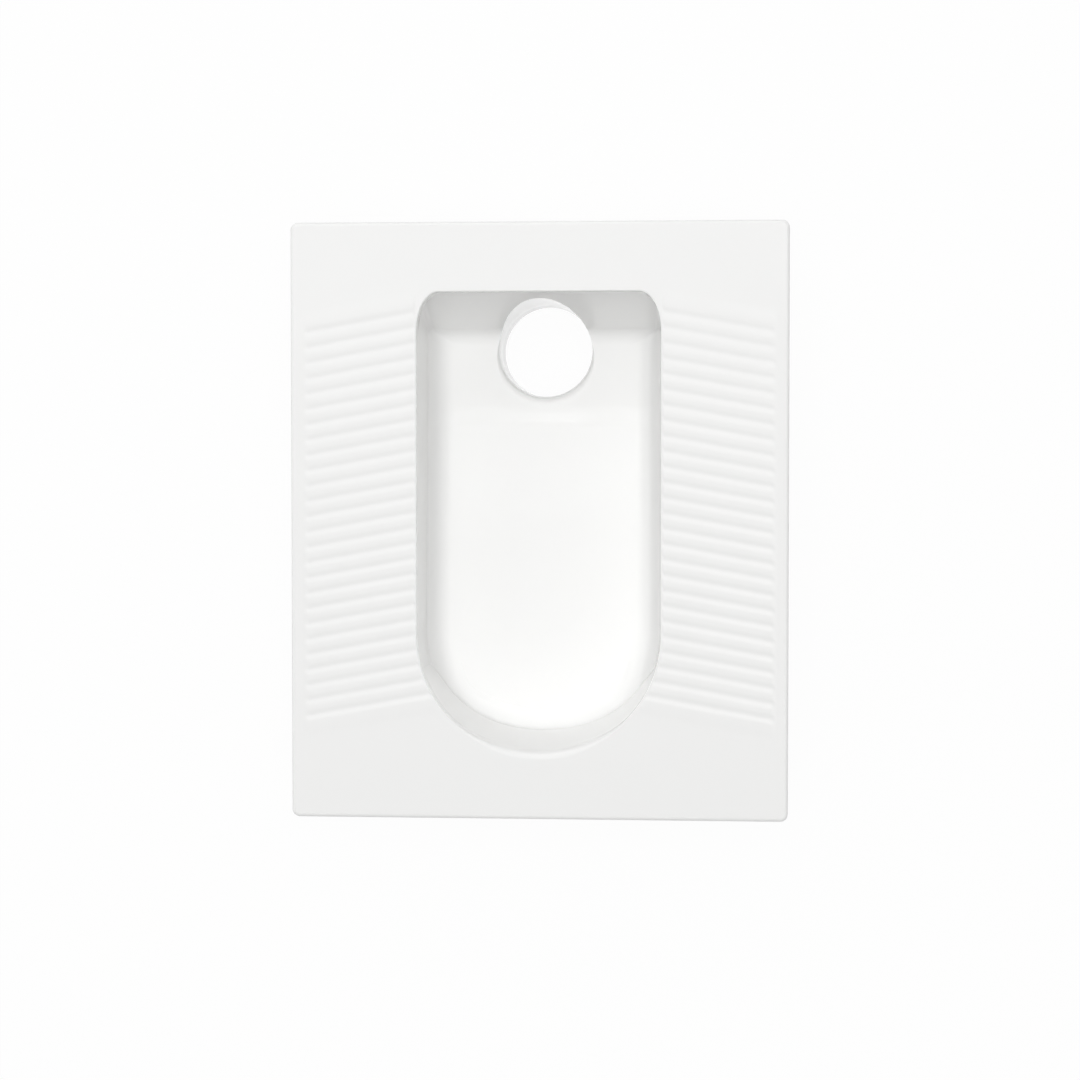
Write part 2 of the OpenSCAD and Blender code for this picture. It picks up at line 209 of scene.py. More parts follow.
@dataclass(frozen=True)
class Finish:
    """Procedural material that each finish draws with its own nodes."""

    name: str

    def draw(self, tree: Tree) -> Socket:
        """Adds the finish's nodes to its tree and returns the shader's output."""
        raise NotImplementedError

    def material(self) -> Material:
        """Makes the material.

        Returns:
            The new material.
        """
        made = bpy.data.materials.new(self.name)
        tree = cleared(made)
        add_node(tree, "ShaderNodeOutputMaterial", {"Surface": self.draw(tree)})
        return made


@dataclass(frozen=True)
class Noise:
    """Soft random pattern: its size on the real thing, and how finely it breaks up."""

    size_mm: float
    detail: float
    roughness: float = 0.5


@dataclass(frozen=True)
class PatchyFinish(Finish):
    """Finish whose colour drifts in broad patches, over a skin with a fine grain."""

    colour: str
    patched: str
    patch: Noise
    grain: Noise
    skin: Point2  # strength, and height in millimetres, of the grain's bump
    shader: tuple[tuple[str, float], ...]
    patch_range: Point2 = (0.0, 1.0)
    wave: Point2 = (0.0, 0.0)  # the same two of the patches' bump
    dull: Point2 = (0.0, 0.0)  # roughness off and on a patch, where it varies

    def draw(self, tree: Tree) -> Socket:
        """Adds the finish's nodes, on Object coordinates.

        Args:
            tree: Shader tree.

        Returns:
            Shader's output.
        """
        place = add_node(tree, "ShaderNodeTexCoord")["Object"]
        noises = []
        for one in (self.patch, self.grain):
            look = {"Vector": place, "Scale": 1 / (one.size_mm * MM), "Detail": one.detail}
            look["Roughness"] = one.roughness
            noises.append(add_node(tree, "ShaderNodeTexNoise", look)["Fac"])
        low, high = self.patch_range
        look = {"Value": noises[0], "From Min": low, "From Max": high}
        share = add_node(tree, "ShaderNodeMapRange", look)["Result"]
        look = {0: share, 6: linear(self.colour), 7: linear(self.patched)}
        made = {"Base Color": add_node(tree, "ShaderNodeMix", look, data_type="RGBA")[2]}
        if any(self.dull):
            look = {"Value": share, "To Min": self.dull[0], "To Max": self.dull[1]}
            made["Roughness"] = add_node(tree, "ShaderNodeMapRange", look)["Result"]
        bump: dict[str, Socket] = {}
        for height, (strength, rise) in zip(noises, (self.wave, self.skin)):
            if strength:
                look = {"Strength": strength, "Distance": rise * MM, "Height": height, **bump}
                bump = {"Normal": add_node(tree, "ShaderNodeBump", look)["Normal"]}
        made.update(bump, **dict(self.shader))
        if "Coat Weight" in made:
            made["Coat Normal"] = bump["Normal"]
        return add_node(tree, "ShaderNodeBsdfPrincipled", made)["BSDF"]


@dataclass(frozen=True)
class VitreousGlaze(PatchyFinish):
    """Opaque white glaze on vitreous china, sprayed on and fired to a gloss.

    It gives the eye a bright, faintly warm white, a clear reflection over a soft body
    colour, and a slight waviness where the glaze flowed in the kiln.
    """

    name: str = "vitreous_china_glaze"
    colour: str = "#fbfbfa"
    patched: str = "#fafaf9"
    patch: Noise = Noise(38.0, 3.0, 0.45)
    grain: Noise = Noise(7.0, 1.0, 0.4)
    skin: Point2 = (0.12, 0.05)
    shader: tuple[tuple[str, float], ...] = (
        ("Roughness", 0.3),
        ("IOR", 1.5),
        ("Specular IOR Level", 0.2),
        ("Coat Weight", 0.85),
        ("Coat Roughness", 0.07),
        ("Coat IOR", 1.5),
    )
    wave: Point2 = (0.22, 0.35)


@dataclass(frozen=True)
class ThinGlazedChina(PatchyFinish):
    """Underside of the casting, which gets only the mist of the glaze spray.

    It gives the eye a dull, slightly creamy white, with the grain of fired clay and broad
    patches where more or less glaze has landed. Real clay has a grain of about 0.3 mm; it
    is drawn coarser so that it shows.
    """

    name: str = "thin_glazed_china"
    colour: str = "#ece9e2"
    patched: str = "#e0dacd"
    patch: Noise = Noise(55.0, 4.0, 0.6)
    grain: Noise = Noise(1.6, 2.0, 0.6)
    skin: Point2 = (0.35, 0.12)
    shader: tuple[tuple[str, float], ...] = (("IOR", 1.5),)
    patch_range: Point2 = (0.42, 0.62)
    dull: Point2 = (0.42, 0.78)


@dataclass(frozen=True)
class MouldedRubber(PatchyFinish):
    """Black EPDM rubber, compression moulded.

    It gives the eye a deep grey-black with a broad dull sheen and a dusty bloom. The
    mould's grit, about 0.1 mm, is drawn coarser so that it shows.
    """

    name: str = "moulded_epdm_rubber"
    colour: str = "#1d1d1f"
    patched: str = "#34343a"
    patch: Noise = Noise(14.0, 5.0, 0.65)
    grain: Noise = Noise(0.9, 1.0)
    skin: Point2 = (0.3, 0.08)
    shader: tuple[tuple[str, float], ...] = (("Roughness", 0.62), ("IOR", 1.52))


@dataclass(frozen=True)
class StudioPaper(Finish):
    """White paper sweep: the camera sees it white, with a share of its own shadow."""

    name: str = "studio_paper"
    colour: str = "#f4f4f4"
    seen_white: float = 0.96

    def draw(self, tree: Tree) -> Socket:
        """Adds the paper's nodes.

        Args:
            tree: Shader tree.

        Returns:
            Shader whose white is mixed in for camera, glossy and transmission rays.
        """
        look = {0: sharp_rays(tree), 1: self.seen_white}
        share = add_node(tree, "ShaderNodeMath", look, operation="MULTIPLY")[0]
        paper = add_node(tree, "ShaderNodeBsdfDiffuse", {"Color": linear(self.colour)})[0]
        white = add_node(tree, "ShaderNodeEmission", {"Color": (1, 1, 1, 1)})[0]
        return add_node(tree, "ShaderNodeMixShader", {0: share, 1: paper, 2: white})[0]


@dataclass
class Finishes:
    """Materials that the pan's pieces share."""

    glaze: Material = field(default_factory=lambda: VitreousGlaze().material())
    under: Material = field(default_factory=lambda: ThinGlazedChina().material())
    rubber: Material = field(default_factory=lambda: MouldedRubber().material())

    @property
    def china(self) -> list[Material]:
        """Materials of a casting that is glazed on one side."""
        return [self.glaze, self.under]


# --- Meshes -----------------------------------------------------------------------


@dataclass
class Casting:
    """Mesh in the making, in millimetres."""

    points: list[Point3] = field(default_factory=list)
    faces: list[tuple[int, ...]] = field(default_factory=list)
    marks: list[int] = field(default_factory=list)

    def loop(self, points: Sequence[Point3]) -> list[int]:
        """Adds points and returns their numbers."""
        self.points.extend(points)
        return list(range(len(self.points) - len(points), len(self.points)))

    def face(self, corners: Sequence[int], mark: int = GLAZED) -> None:
        """Adds a face, by the numbers of its points and of its material."""
        self.faces.append(tuple(corners))
        self.marks.append(mark)

    def bridge(
        self, one: Sequence[int], two: Sequence[int], closed: bool = True, mark: int = GLAZED
    ) -> None:
        """Joins two loops of the same length by a strip of faces.

        Args:
            one: First loop.
            two: Second loop.
            closed: Whether the loops close on themselves.
            mark: Number of the strip's material.
        """
        count = len(one)
        for i in range(count if closed else count - 1):
            j = (i + 1) % count
            self.face((one[i], one[j], two[j], two[i]), mark)

    def flat(self, loops: Sequence[Sequence[int]], mark: int = GLAZED) -> None:
        """Fills a flat region whose first loop is its edge and whose others are holes.

        Args:
            loops: Loops of point numbers.
            mark: Number of the region's material.
        """
        flat = [i for one in loops for i in one]
        for tri in tessellate_polygon([[Vector(self.points[i]) for i in one] for one in loops]):
            self.face([flat[i] for i in tri], mark)

    def stack(
        self, loops: Sequence[Sequence[Point3]], closed: bool = True, mark: int = GLAZED
    ) -> list[list[int]]:
        """Adds loops and joins each one to the next.

        Args:
            loops: Loops of places, all of one length.
            closed: Whether the loops close on themselves.
            mark: Number of the material.

        Returns:
            The loops' point numbers.
        """
        made = [self.loop(one) for one in loops]
        for one, two in zip(made, made[1:]):
            self.bridge(one, two, closed, mark)
        return made

    def piece(self, name: str, materials: Sequence[Material], sharp: float = CRISP) -> Piece:
        """Makes the object, with merged doubles and faces that point outwards.

        Args:
            name: Object's name.
            materials: Materials that the faces' marks number.
            sharp: Angle in degrees past which an edge stays crisp.

        Returns:
            Object at the origin, in metres.
        """
        mesh = bpy.data.meshes.new(name)
        mesh.from_pydata([(x * MM, y * MM, z * MM) for x, y, z in self.points], [], self.faces)
        mesh.polygons.foreach_set("material_index", self.marks)
        for material in materials:
            mesh.materials.append(material)
        made = add_object(name, mesh)
        tidy(made, sharp)
        return made


def tidy(piece: Piece, sharp: float = CRISP, weld: float = 0.004) -> None:
    """Merges doubles, turns faces outwards and shades a piece smooth between crisp edges.

    Args:
        piece: Mesh object.
        sharp: Angle in degrees past which an edge stays crisp.
        weld: Distance in millimetres under which points merge.
    """
    work = bmesh.new()
    work.from_mesh(piece.data)
    bmesh.ops.remove_doubles(work, verts=work.verts, dist=weld * MM)
    bmesh.ops.dissolve_degenerate(work, edges=work.edges, dist=weld * SLIVER_SHARE * MM)
    bmesh.ops.recalc_face_normals(work, faces=work.faces)
    work.to_mesh(piece.data)
    work.free()
    piece.data.shade_smooth()
    piece.data.set_sharp_from_angle(angle=math.radians(sharp))
    piece.data.update()


def baked(piece: Piece) -> None:
    """Applies a piece's modifiers to its mesh.

    Args:
        piece: Mesh object with modifiers.
    """
    bpy.context.view_layer.update()
    seen = piece.evaluated_get(bpy.context.evaluated_depsgraph_get())
    mesh = bpy.data.meshes.new_from_object(seen)
    piece.modifiers.clear()
    old, piece.data = piece.data, mesh
    bpy.data.meshes.remove(old)


def cut(piece: Piece, operation: str, tool: Piece) -> None:
    """Joins a tool to a piece or takes it out, and deletes the tool.

    Args:
        piece: Mesh object.
        operation: UNION or DIFFERENCE.
        tool: Closed mesh object.
    """
    modifier = piece.modifiers.new("cut", "BOOLEAN")
    modifier.operation = operation
    modifier.solver = "EXACT"
    modifier.material_mode = "INDEX"
    modifier.object = tool
    baked(piece)
    bpy.data.objects.remove(tool)


def turned(
    name: str,
    profile: Sequence[Point2],
    centre: Point3,
    axis: Axis,
    materials: Sequence[Material],
    steps: int = 144,
    sharp: float = CRISP,
    closed: bool = True,
) -> Piece:
    """Turns a profile round an axis.

    Args:
        name: Object's name.
        profile: Radius and height of each point, in millimetres.
        centre: Where the height is 0.
        axis: Way that the height grows.
        materials: Materials of the piece.
        steps: Number of steps round.
        sharp: Angle in degrees past which an edge stays crisp.
        closed: Whether the profile closes on itself; else its ends lie on the axis.

    Returns:
        The turned piece.
    """
    made = Casting()
    along = Vector(axis.value)
    across = Vector((1.0, 0.0, 0.0))
    third = along.cross(across)
    turns = [2 * math.pi * i / steps for i in range(steps)]
    rays = [across * math.cos(a) + third * math.sin(a) for a in turns]
    rings = made.stack(
        [[tuple(Vector(centre) + along * z + ray * r) for ray in rays] for r, z in profile]
    )
    if closed:
        made.bridge(rings[-1], rings[0])
    else:
        made.face(rings[0])
        made.face(rings[-1][::-1])
    return made.piece(name, materials, sharp)


# --- Sizes that the pieces share --------------------------------------------------


@dataclass(frozen=True)
class Station:
    """Place on the opening's outline, with how the wall below it leaves it."""

    place: Point2
    normal: Point2
    side_run: Point2
    end_run: Point2
    side_share: float
    spread: Point2 = (0.0, 0.0)
    turn: float = 0.0

    def beside(self, gap: float) -> Point2:
        """Place at a distance outside the outline."""
        return self.place[0] + gap * self.normal[0], self.place[1] + gap * self.normal[1]


@dataclass(frozen=True)
class PanSizes:
    """Sizes of the pan in millimetres, and leans in degrees, as in the CAD frame."""

    deck_w: float = 500
    deck_l: float = 600
    deck_h: float = 200
    deck_t: float = 14
    corner_r: float = 8
    corner_steps: int = 12
    edge_r: float = 4
    open_r: float = 122.5
    back_y: float = 230
    round_y: float = -236
    back_corner: Point2 = (22, 40)
    wall_t: float = 12
    side_lean: float = 0.6
    back_lean: float = 19.5
    fillet_r: float = 25
    round_fillet_r: float = 52
    round_fillet_full: float = 80
    side_roll: float = 1.3
    round_roll: float = 9
    round_roll_from: float = 42
    round_roll_run: float = 40
    roll_out: float = 4
    face_lean: float = 9
    back_fillet_r: float = 18
    deep_corner_r: float = 6
    front_depth: float = 93
    floor_fall: float = 19
    sump_drop: float = 4
    brow_y: float = 92
    sump_run: float = 30
    outlet_y: float = 176
    bore_r: float = 49
    bell_r: float = 10
    channel_w: float = 16
    channel_from: float = 14
    channel_full: float = 44
    horn_z: float = 144
    horn_bore_r: float = 21
    neck_r: float = 61
    neck_foot: float = 46

    @property
    def under(self) -> float:
        """Level of the deck plate's underside."""
        return self.deck_h - self.deck_t

    @property
    def round_cy(self) -> float:
        """Centre of the round end."""
        return self.round_y + self.open_r

    @property
    def side_end_y(self) -> float:
        """Where the straight sides of the opening end at the outlet end."""
        return self.back_y - self.back_corner[1]

    @property
    def sump_z(self) -> float:
        """Level of the sump's floor."""
        return self.deck_h - self.front_depth - self.floor_fall - self.sump_drop

    def channel_at(self, angle: float) -> float:
        """Width of the flush channel at an angle from the side of the round end."""
        run = self.channel_full - self.channel_from
        return self.channel_w * smooth((angle - self.channel_from) / run)

    def round_share(self, turn: float) -> float:
        """Share of the round end's rim section that the rim has at an angle from the side."""
        return smooth((turn - self.round_roll_from) / self.round_roll_run)

    def roll_edge(self, turn: float) -> float:
        """How far outside the opening the rim's roll begins."""
        return mix(self.side_roll, self.roll_out, self.round_share(turn))

    def rim_point(self, turn: float, share: float) -> Point2:
        """Places a point of the rim's roll.

        Args:
            turn: Angle from the side of the round end, in degrees.
            share: Share of the way down the roll.

        Returns:
            Distance outside the opening, and depth below the deck's top.
        """
        r = mix(self.side_roll, self.round_roll, self.round_share(turn))
        a = math.radians(90 - self.face_lean * self.round_share(turn)) * share
        return self.roll_edge(turn) - r * math.sin(a), r * (1 - math.cos(a))

    def rim_foot(self, turn: float) -> float:
        """Places the foot of the rim's inner face, at the deck plate's underside.

        Args:
            turn: Angle from the side of the round end, in degrees.

        Returns:
            Distance outside the opening.
        """
        out, drop = self.rim_point(turn, 1)
        lean = math.radians(self.face_lean * self.round_share(turn))
        return out - (self.deck_t - drop) * math.tan(lean)

    def floor_depth(self, y: float) -> float:
        """Depth of the bowl's floor below the deck.

        Args:
            y: Place along the pan.

        Returns:
            Depth in millimetres.
        """
        brow_depth = self.front_depth + self.floor_fall
        if y < self.brow_y:
            share = (y - self.round_y) / (self.brow_y - self.round_y)
            return mix(self.front_depth, brow_depth, share)
        return brow_depth + self.sump_drop * smooth((y - self.brow_y) / self.sump_run)

    def half_outline(self, channel: bool, steps: Steps) -> list[Station]:
        """Stations from the middle of the straight end, round the right side, to the round end.

        Args:
            channel: Whether the outline goes out round the flush channel.
            steps: Steps on the end, the corner, the sump's side, the brow, the side and
                the round end.

        Returns:
            Stations in order.
        """
        end_n, corner_n, sump_n, brow_n, side_n, round_n = steps
        rx, ry = self.back_corner
        corner_x = self.open_r - rx
        wide, long = rx - self.deep_corner_r, ry - self.deep_corner_r
        made = []
        for t in (i / end_n for i in range(end_n)):
            place = (corner_x * t, self.back_y)
            made.append(Station(place, (0, 1), (t, 0), (0, 1), 0.0, (wide * t, 0)))
        for t in (i / corner_n for i in range(corner_n)):
            sin, cos = math.sin(t * math.pi / 2), math.cos(t * math.pi / 2)
            steep = math.hypot(ry * sin, rx * cos)
            place = (corner_x + rx * sin, self.side_end_y + ry * cos)
            spread = (wide * (1 - sin), long * (1 - cos))
            n = (ry * sin / steep, rx * cos / steep)
            made.append(Station(place, n, (1, 0), (0, 1), smooth(t), spread))
        bends = (self.side_end_y, self.brow_y + self.sump_run, self.brow_y, self.round_cy)
        span = self.side_end_y - self.brow_y
        for start, end, count in zip(bends, bends[1:], (sump_n, brow_n, side_n)):
            for y in (mix(start, end, i / count) for i in range(count)):
                back = max(0.0, (y - self.brow_y) / span)
                place = (self.open_r, y)
                made.append(Station(place, (1, 0), (1, 0), (0, back), 1.0, (0, long * back)))
        for turn in (90 * i / round_n for i in range(round_n + 1)):
            n = (math.cos(math.radians(turn)), -math.sin(math.radians(turn)))
            reach = self.open_r + (self.channel_at(turn) if channel else 0.0)
            place = (reach * n[0], self.round_cy + reach * n[1])
            made.append(Station(place, n, n, (0, 0), 1.0, turn=turn))
        return made


@dataclass
class PanPart:
    """Part of the pan, with the sizes and the materials that all parts share."""

    sizes: PanSizes
    finishes: Finishes


# --- Deck and rim -----------------------------------------------------------------

# Sums that press the grooves, in order. Each row gives a result's name, the sum, and its
# inputs: an earlier result, an input of the tree, or a plain number. A line of the pattern
# is named by the place where it would cross the pan's long axis.
Sums = tuple[tuple[Any, ...], ...]
BORDER_PITCHES = 1.5  # from the first and the last line to the field's border
FADE_PITCHES = 0.9  # run over which the ribs fade at those borders
DIP_POWER = 1.7  # above 1, the foot of the dip is narrower than its shoulders
GROOVE_PLACES: Sums = (
    # Where the line meets the rim, on its straight side or on the round end
    ("c", "SUBTRACT", "line", "Round centre"),
    ("slope squared", "MULTIPLY", "Slope", "Slope"),
    ("unit", "ADD", "slope squared", 1.0),
    ("r squared", "MULTIPLY", "Inner radius", "Inner radius"),
    ("reach squared", "MULTIPLY", "unit", "r squared"),
    ("c squared", "MULTIPLY", "c", "c"),
    ("under root", "SUBTRACT", "reach squared", "c squared"),
    ("under root kept", "MAXIMUM", "under root", 0.0),
    ("root", "SQRT", "under root kept"),
    ("c sloped", "MULTIPLY_ADD", "c", "Slope", "root"),
    ("on round", "DIVIDE", "c sloped", "unit"),
    ("straight from", "MULTIPLY", "Slope", "Inner radius"),
    ("straight", "GREATER_THAN", "c", "straight from"),
    ("round", "SUBTRACT", 1.0, "straight"),
    ("inner on round", "MULTIPLY", "round", "on round"),
    ("inner", "MULTIPLY_ADD", "straight", "Inner radius", "inner on round"),
    ("reach", "SUBTRACT", "Outer edge", "inner"),
    ("x", "MULTIPLY_ADD", "run", "reach", "inner"),
    ("fall", "MULTIPLY", "Slope", "x"),
    ("y", "SUBTRACT", "line", "fall"),
    # Distance from the groove's middle line, round its outer end
    ("cosine", "INVERSE_SQRT", "unit"),
    ("width", "MULTIPLY", "Groove pitch", "cosine"),
    ("half", "MULTIPLY", "width", 0.5),
    ("to outer", "SUBTRACT", "Outer edge", "x"),
    ("past end", "SUBTRACT", "half", "to outer"),
    ("past", "MAXIMUM", "past end", 0.0),
    ("past squared", "MULTIPLY", "past", "past"),
    ("across", "MULTIPLY", "off", "cosine"),
    ("away squared", "MULTIPLY_ADD", "across", "across", "past squared"),
    ("away", "SQRT", "away squared"),
    # Distances from the field's borders, over which the ribs fade
    ("fade width", "MULTIPLY", "Groove pitch", FADE_PITCHES),
    ("top line", "MULTIPLY_ADD", "Groove pitch", BORDER_PITCHES, "First line"),
    ("foot line", "MULTIPLY_ADD", "Groove pitch", -BORDER_PITCHES, "Last line"),
    ("from top", "SUBTRACT", "top line", "line"),
    ("from foot", "SUBTRACT", "line", "foot line"),
    ("from end", "MINIMUM", "from top", "from foot"),
    ("from rim", "SUBTRACT", "x", "inner"),
)
# Half a cosine wave over a distance: result, distance, width, and -0.5 to rise from 0 to 1
# or 0.5 to fall from 1 to 0
GROOVE_WAVES: Sums = (
    ("dip wide", "away", "half", 0.5),
    ("end ease", "from end", "fade width", -0.5),
    ("outer ease", "to outer", "Outer fade", -0.5),
    ("rim ease", "from rim", "Inner fade", -0.5),
)
GROOVE_HEIGHTS: Sums = (
    # Groove: a soft dip, in the tiles between the first line and the last
    ("dip", "POWER", "dip wide", DIP_POWER),
    ("field top", "MULTIPLY_ADD", "Groove pitch", 0.5, "First line"),
    ("field foot", "MULTIPLY_ADD", "Groove pitch", -0.5, "Last line"),
    ("below top", "LESS_THAN", "line", "field top"),
    ("above foot", "GREATER_THAN", "line", "field foot"),
    ("dip below", "MULTIPLY", "dip", "below top"),
    ("groove", "MULTIPLY", "dip below", "above foot"),
    # Ribs: the ground between the grooves stands up
    ("ground", "MULTIPLY", "outer ease", "end ease"),
    ("rise", "MULTIPLY", "ground", "Rib rise"),
    ("sink", "MULTIPLY", "groove", "Groove depth"),
    ("height", "SUBTRACT", "rise", "sink"),
    ("z", "MULTIPLY_ADD", "height", "rim ease", "Deck level"),
    ("x sided", "MULTIPLY", "x", "Side"),
)


def groove_sums() -> list[tuple[Any, ...]]:
    """Puts the sums of the grooves in order, with the waves written out.

    Returns:
        Rows of result, sum and inputs.
    """
    rows = list(GROOVE_PLACES)
    for name, distance, width, half in GROOVE_WAVES:
        rows += [
            ("share", "DIVIDE", distance, width),
            ("kept", "MINIMUM", "share", 1.0),
            ("turn", "MULTIPLY", "kept", math.pi),
            ("wave", "COSINE", "turn"),
            (name, "MULTIPLY_ADD", "wave", half, 0.5),
        ]
    return rows + list(GROOVE_HEIGHTS)


@dataclass
class FootRest(PanPart):
    """One ribbed foot rest: a field of soft grooves pressed into the deck."""

    side: Side
    groove_count: int = 26
    groove_pitch: float = 15.45
    rib_angle: float = 10.5
    first_groove: float = 210.0
    inner_gap: float = 1.5
    outer_x: float = 239.0
    rib_rise: float = 0.4
    groove_depth: float = 0.85
    inner_fade: float = 1.2
    outer_fade: float = 7.0
    plate_under: float = 4.2
    run_steps: int = 60
    end_crowding: float = 0.55
    across_steps: int = 14
    tile_weld: float = 0.005

    @property
    def slope(self) -> float:
        """Fall of a rib along the pan for each millimetre across it."""
        return math.tan(math.radians(self.rib_angle))

    @property
    def first_line(self) -> float:
        """Where the first groove's line would cross the long axis."""
        return self.first_groove + self.slope * self.sizes.open_r

    @property
    def last_line(self) -> float:
        """Where the last groove's line would cross the long axis."""
        return self.first_line - (self.groove_count - 1) * self.groove_pitch

    @property
    def inner_r(self) -> float:
        """Distance from the round end's centre to the foot rest's inner edge."""
        return self.sizes.open_r + self.inner_gap

    def inner_x(self, line: float) -> float:
        """Where a line of the pattern meets the rim.

        Args:
            line: Where it would cross the long axis.

        Returns:
            Distance from the long axis.
        """
        s, r = self.slope, self.inner_r
        c = line - self.sizes.round_cy
        if c >= s * r:
            return r
        return (c * s + math.sqrt((1 + s * s) * r * r - c * c)) / (1 + s * s)

    def border(self) -> list[Point2]:
        """Outline of the right-hand field, from its inner top corner out and back.

        Returns:
            Points without those along the rim.
        """
        reach = BORDER_PITCHES * self.groove_pitch
        top, foot = self.first_line + reach, self.last_line - reach
        lines = (top, top, foot, foot)
        across = (self.inner_x(top), self.outer_x, self.outer_x, self.inner_x(foot))
        return [(x, line - self.slope * x) for x, line in zip(across, lines)]

    def tile(self) -> Piece:
        """Makes one groove's tile: x is the share of its run, y and z the place across it.

        Returns:
            Object that the ribs' tree repeats.
        """
        half = self.groove_pitch / 2
        across = [mix(-half, half, k / self.across_steps) for k in range(self.across_steps + 1)]
        evenly = [i / self.run_steps for i in range(self.run_steps + 1)]
        runs = [mix(u, 0.5 - 0.5 * math.cos(math.pi * u), self.end_crowding) for u in evenly]
        made = Casting()
        made.stack([[(run / MM, off, off) for run in runs] for off in across], closed=False)
        return made.piece("groove_tile", [])

    def tree(self) -> Tree:
        """Makes the tree that repeats the tile along the pan and presses the grooves.

        Returns:
            Geometry tree with named inputs.
        """
        tree = bpy.data.node_groups.new("foot_rest_grooves", "GeometryNodeTree")
        inputs = {"Geometry": "Geometry", "Groove count": "Int"}
        inputs.update({name: "Float" for name in self.tree_values()})
        inputs["Glaze"] = "Material"
        for name, kind in inputs.items():
            tree.interface.new_socket(name, in_out="INPUT", socket_type=f"NodeSocket{kind}")
        tree.interface.new_socket("Geometry", in_out="OUTPUT", socket_type="NodeSocketGeometry")
        given = add_node(tree, "NodeGroupInput")
        start = add_node(tree, "ShaderNodeCombineXYZ", {"Y": given["Tile start"]})[0]
        step = add_node(tree, "ShaderNodeCombineXYZ", {"Y": given["Tile step"]})[0]
        look = {"Count": given["Groove count"], "Start Location": start, "Offset": step}
        places = add_node(tree, "GeometryNodeMeshLine", look, mode="OFFSET")[0]
        look = {"Points": places, "Instance": given["Geometry"]}
        copies = add_node(tree, "GeometryNodeInstanceOnPoints", look)[0]
        solid = add_node(tree, "GeometryNodeRealizeInstances", {0: copies})[0]
        spot = add_node(tree, "GeometryNodeInputPosition")[0]
        at = add_node(tree, "ShaderNodeSeparateXYZ", {0: spot})
        known: dict[Any, Any] = {name: given[name] for name in self.tree_values()}
        known.update(zip(("run", "line", "off"), at))
        for name, operation, *values in groove_sums():
            look = {i: known.get(value, value) for i, value in enumerate(values)}
            known[name] = add_node(tree, "ShaderNodeMath", look, operation=operation)[0]
        look = {0: known["x sided"], 1: known["y"], 2: known["z"]}
        place = add_node(tree, "ShaderNodeCombineXYZ", look)[0]
        look = {"Geometry": solid, "Position": place}
        placed = add_node(tree, "GeometryNodeSetPosition", look)[0]
        look = {"Geometry": placed, "Distance": self.tile_weld * MM}
        whole = add_node(tree, "GeometryNodeMergeByDistance", look)[0]
        look = {"Geometry": whole, "Material": given["Glaze"]}
        dressed = add_node(tree, "GeometryNodeSetMaterial", look)[0]
        add_node(tree, "NodeGroupOutput", {0: dressed})
        return tree

    def tree_values(self) -> dict[str, float]:
        """Sizes that the tree takes.

        Returns:
            Values in metres, by the names of the tree's inputs.
        """
        lengths = {
            "Groove pitch": self.groove_pitch,
            "Tile start": self.first_line + self.groove_pitch,
            "Tile step": -self.groove_pitch,
            "First line": self.first_line,
            "Last line": self.last_line,
            "Inner radius": self.inner_r,
            "Outer edge": self.outer_x,
            "Round centre": self.sizes.round_cy,
            "Rib rise": self.rib_rise,
            "Groove depth": self.groove_depth,
            "Deck level": self.sizes.deck_h,
            "Inner fade": self.inner_fade,
            "Outer fade": self.outer_fade,
        }
        values = {name: length * MM for name, length in lengths.items()}
        return {**values, "Slope": self.slope, "Side": float(self.side.value)}

    def build(self) -> Piece:
        """Builds the foot rest as a plate with its pressed top.

        Returns:
            The finished piece.
        """
        made = self.tile()
        modifier = made.modifiers.new("grooves", "NODES")
        modifier.node_group = self.tree()
        values: dict[str, Any] = self.tree_values()
        values.update({"Groove count": self.groove_count + 2, "Glaze": self.finishes.glaze})
        for item in modifier.node_group.interface.items_tree:
            if item.in_out == "INPUT" and item.name in values:
                modifier[item.identifier] = values[item.name]
        baked(made)
        made.name = made.data.name = f"{self.side.name.lower()}_foot_rest"
        self.thicken(made)
        tidy(made)
        return made

    def thicken(self, piece: Piece) -> None:
        """Draws the pressed sheet's edge down and closes it below.

        Args:
            piece: Open sheet.
        """
        work = bmesh.new()
        work.from_mesh(piece.data)
        edge = [e for e in work.edges if e.is_boundary]
        drawn = bmesh.ops.extrude_edge_only(work, edges=edge)["geom"]
        for one in drawn:
            if isinstance(one, bmesh.types.BMVert):
                one.co.z = (self.sizes.deck_h - self.plate_under) * MM
        rim = [e for e in work.edges if e.is_boundary]
        bmesh.ops.triangle_fill(work, use_beauty=False, use_dissolve=False, edges=rim)
        for one in work.faces:
            one.material_index = GLAZED
        work.to_mesh(piece.data)
        work.free()
        piece.data.materials.clear()
        piece.data.materials.append(self.finishes.glaze)


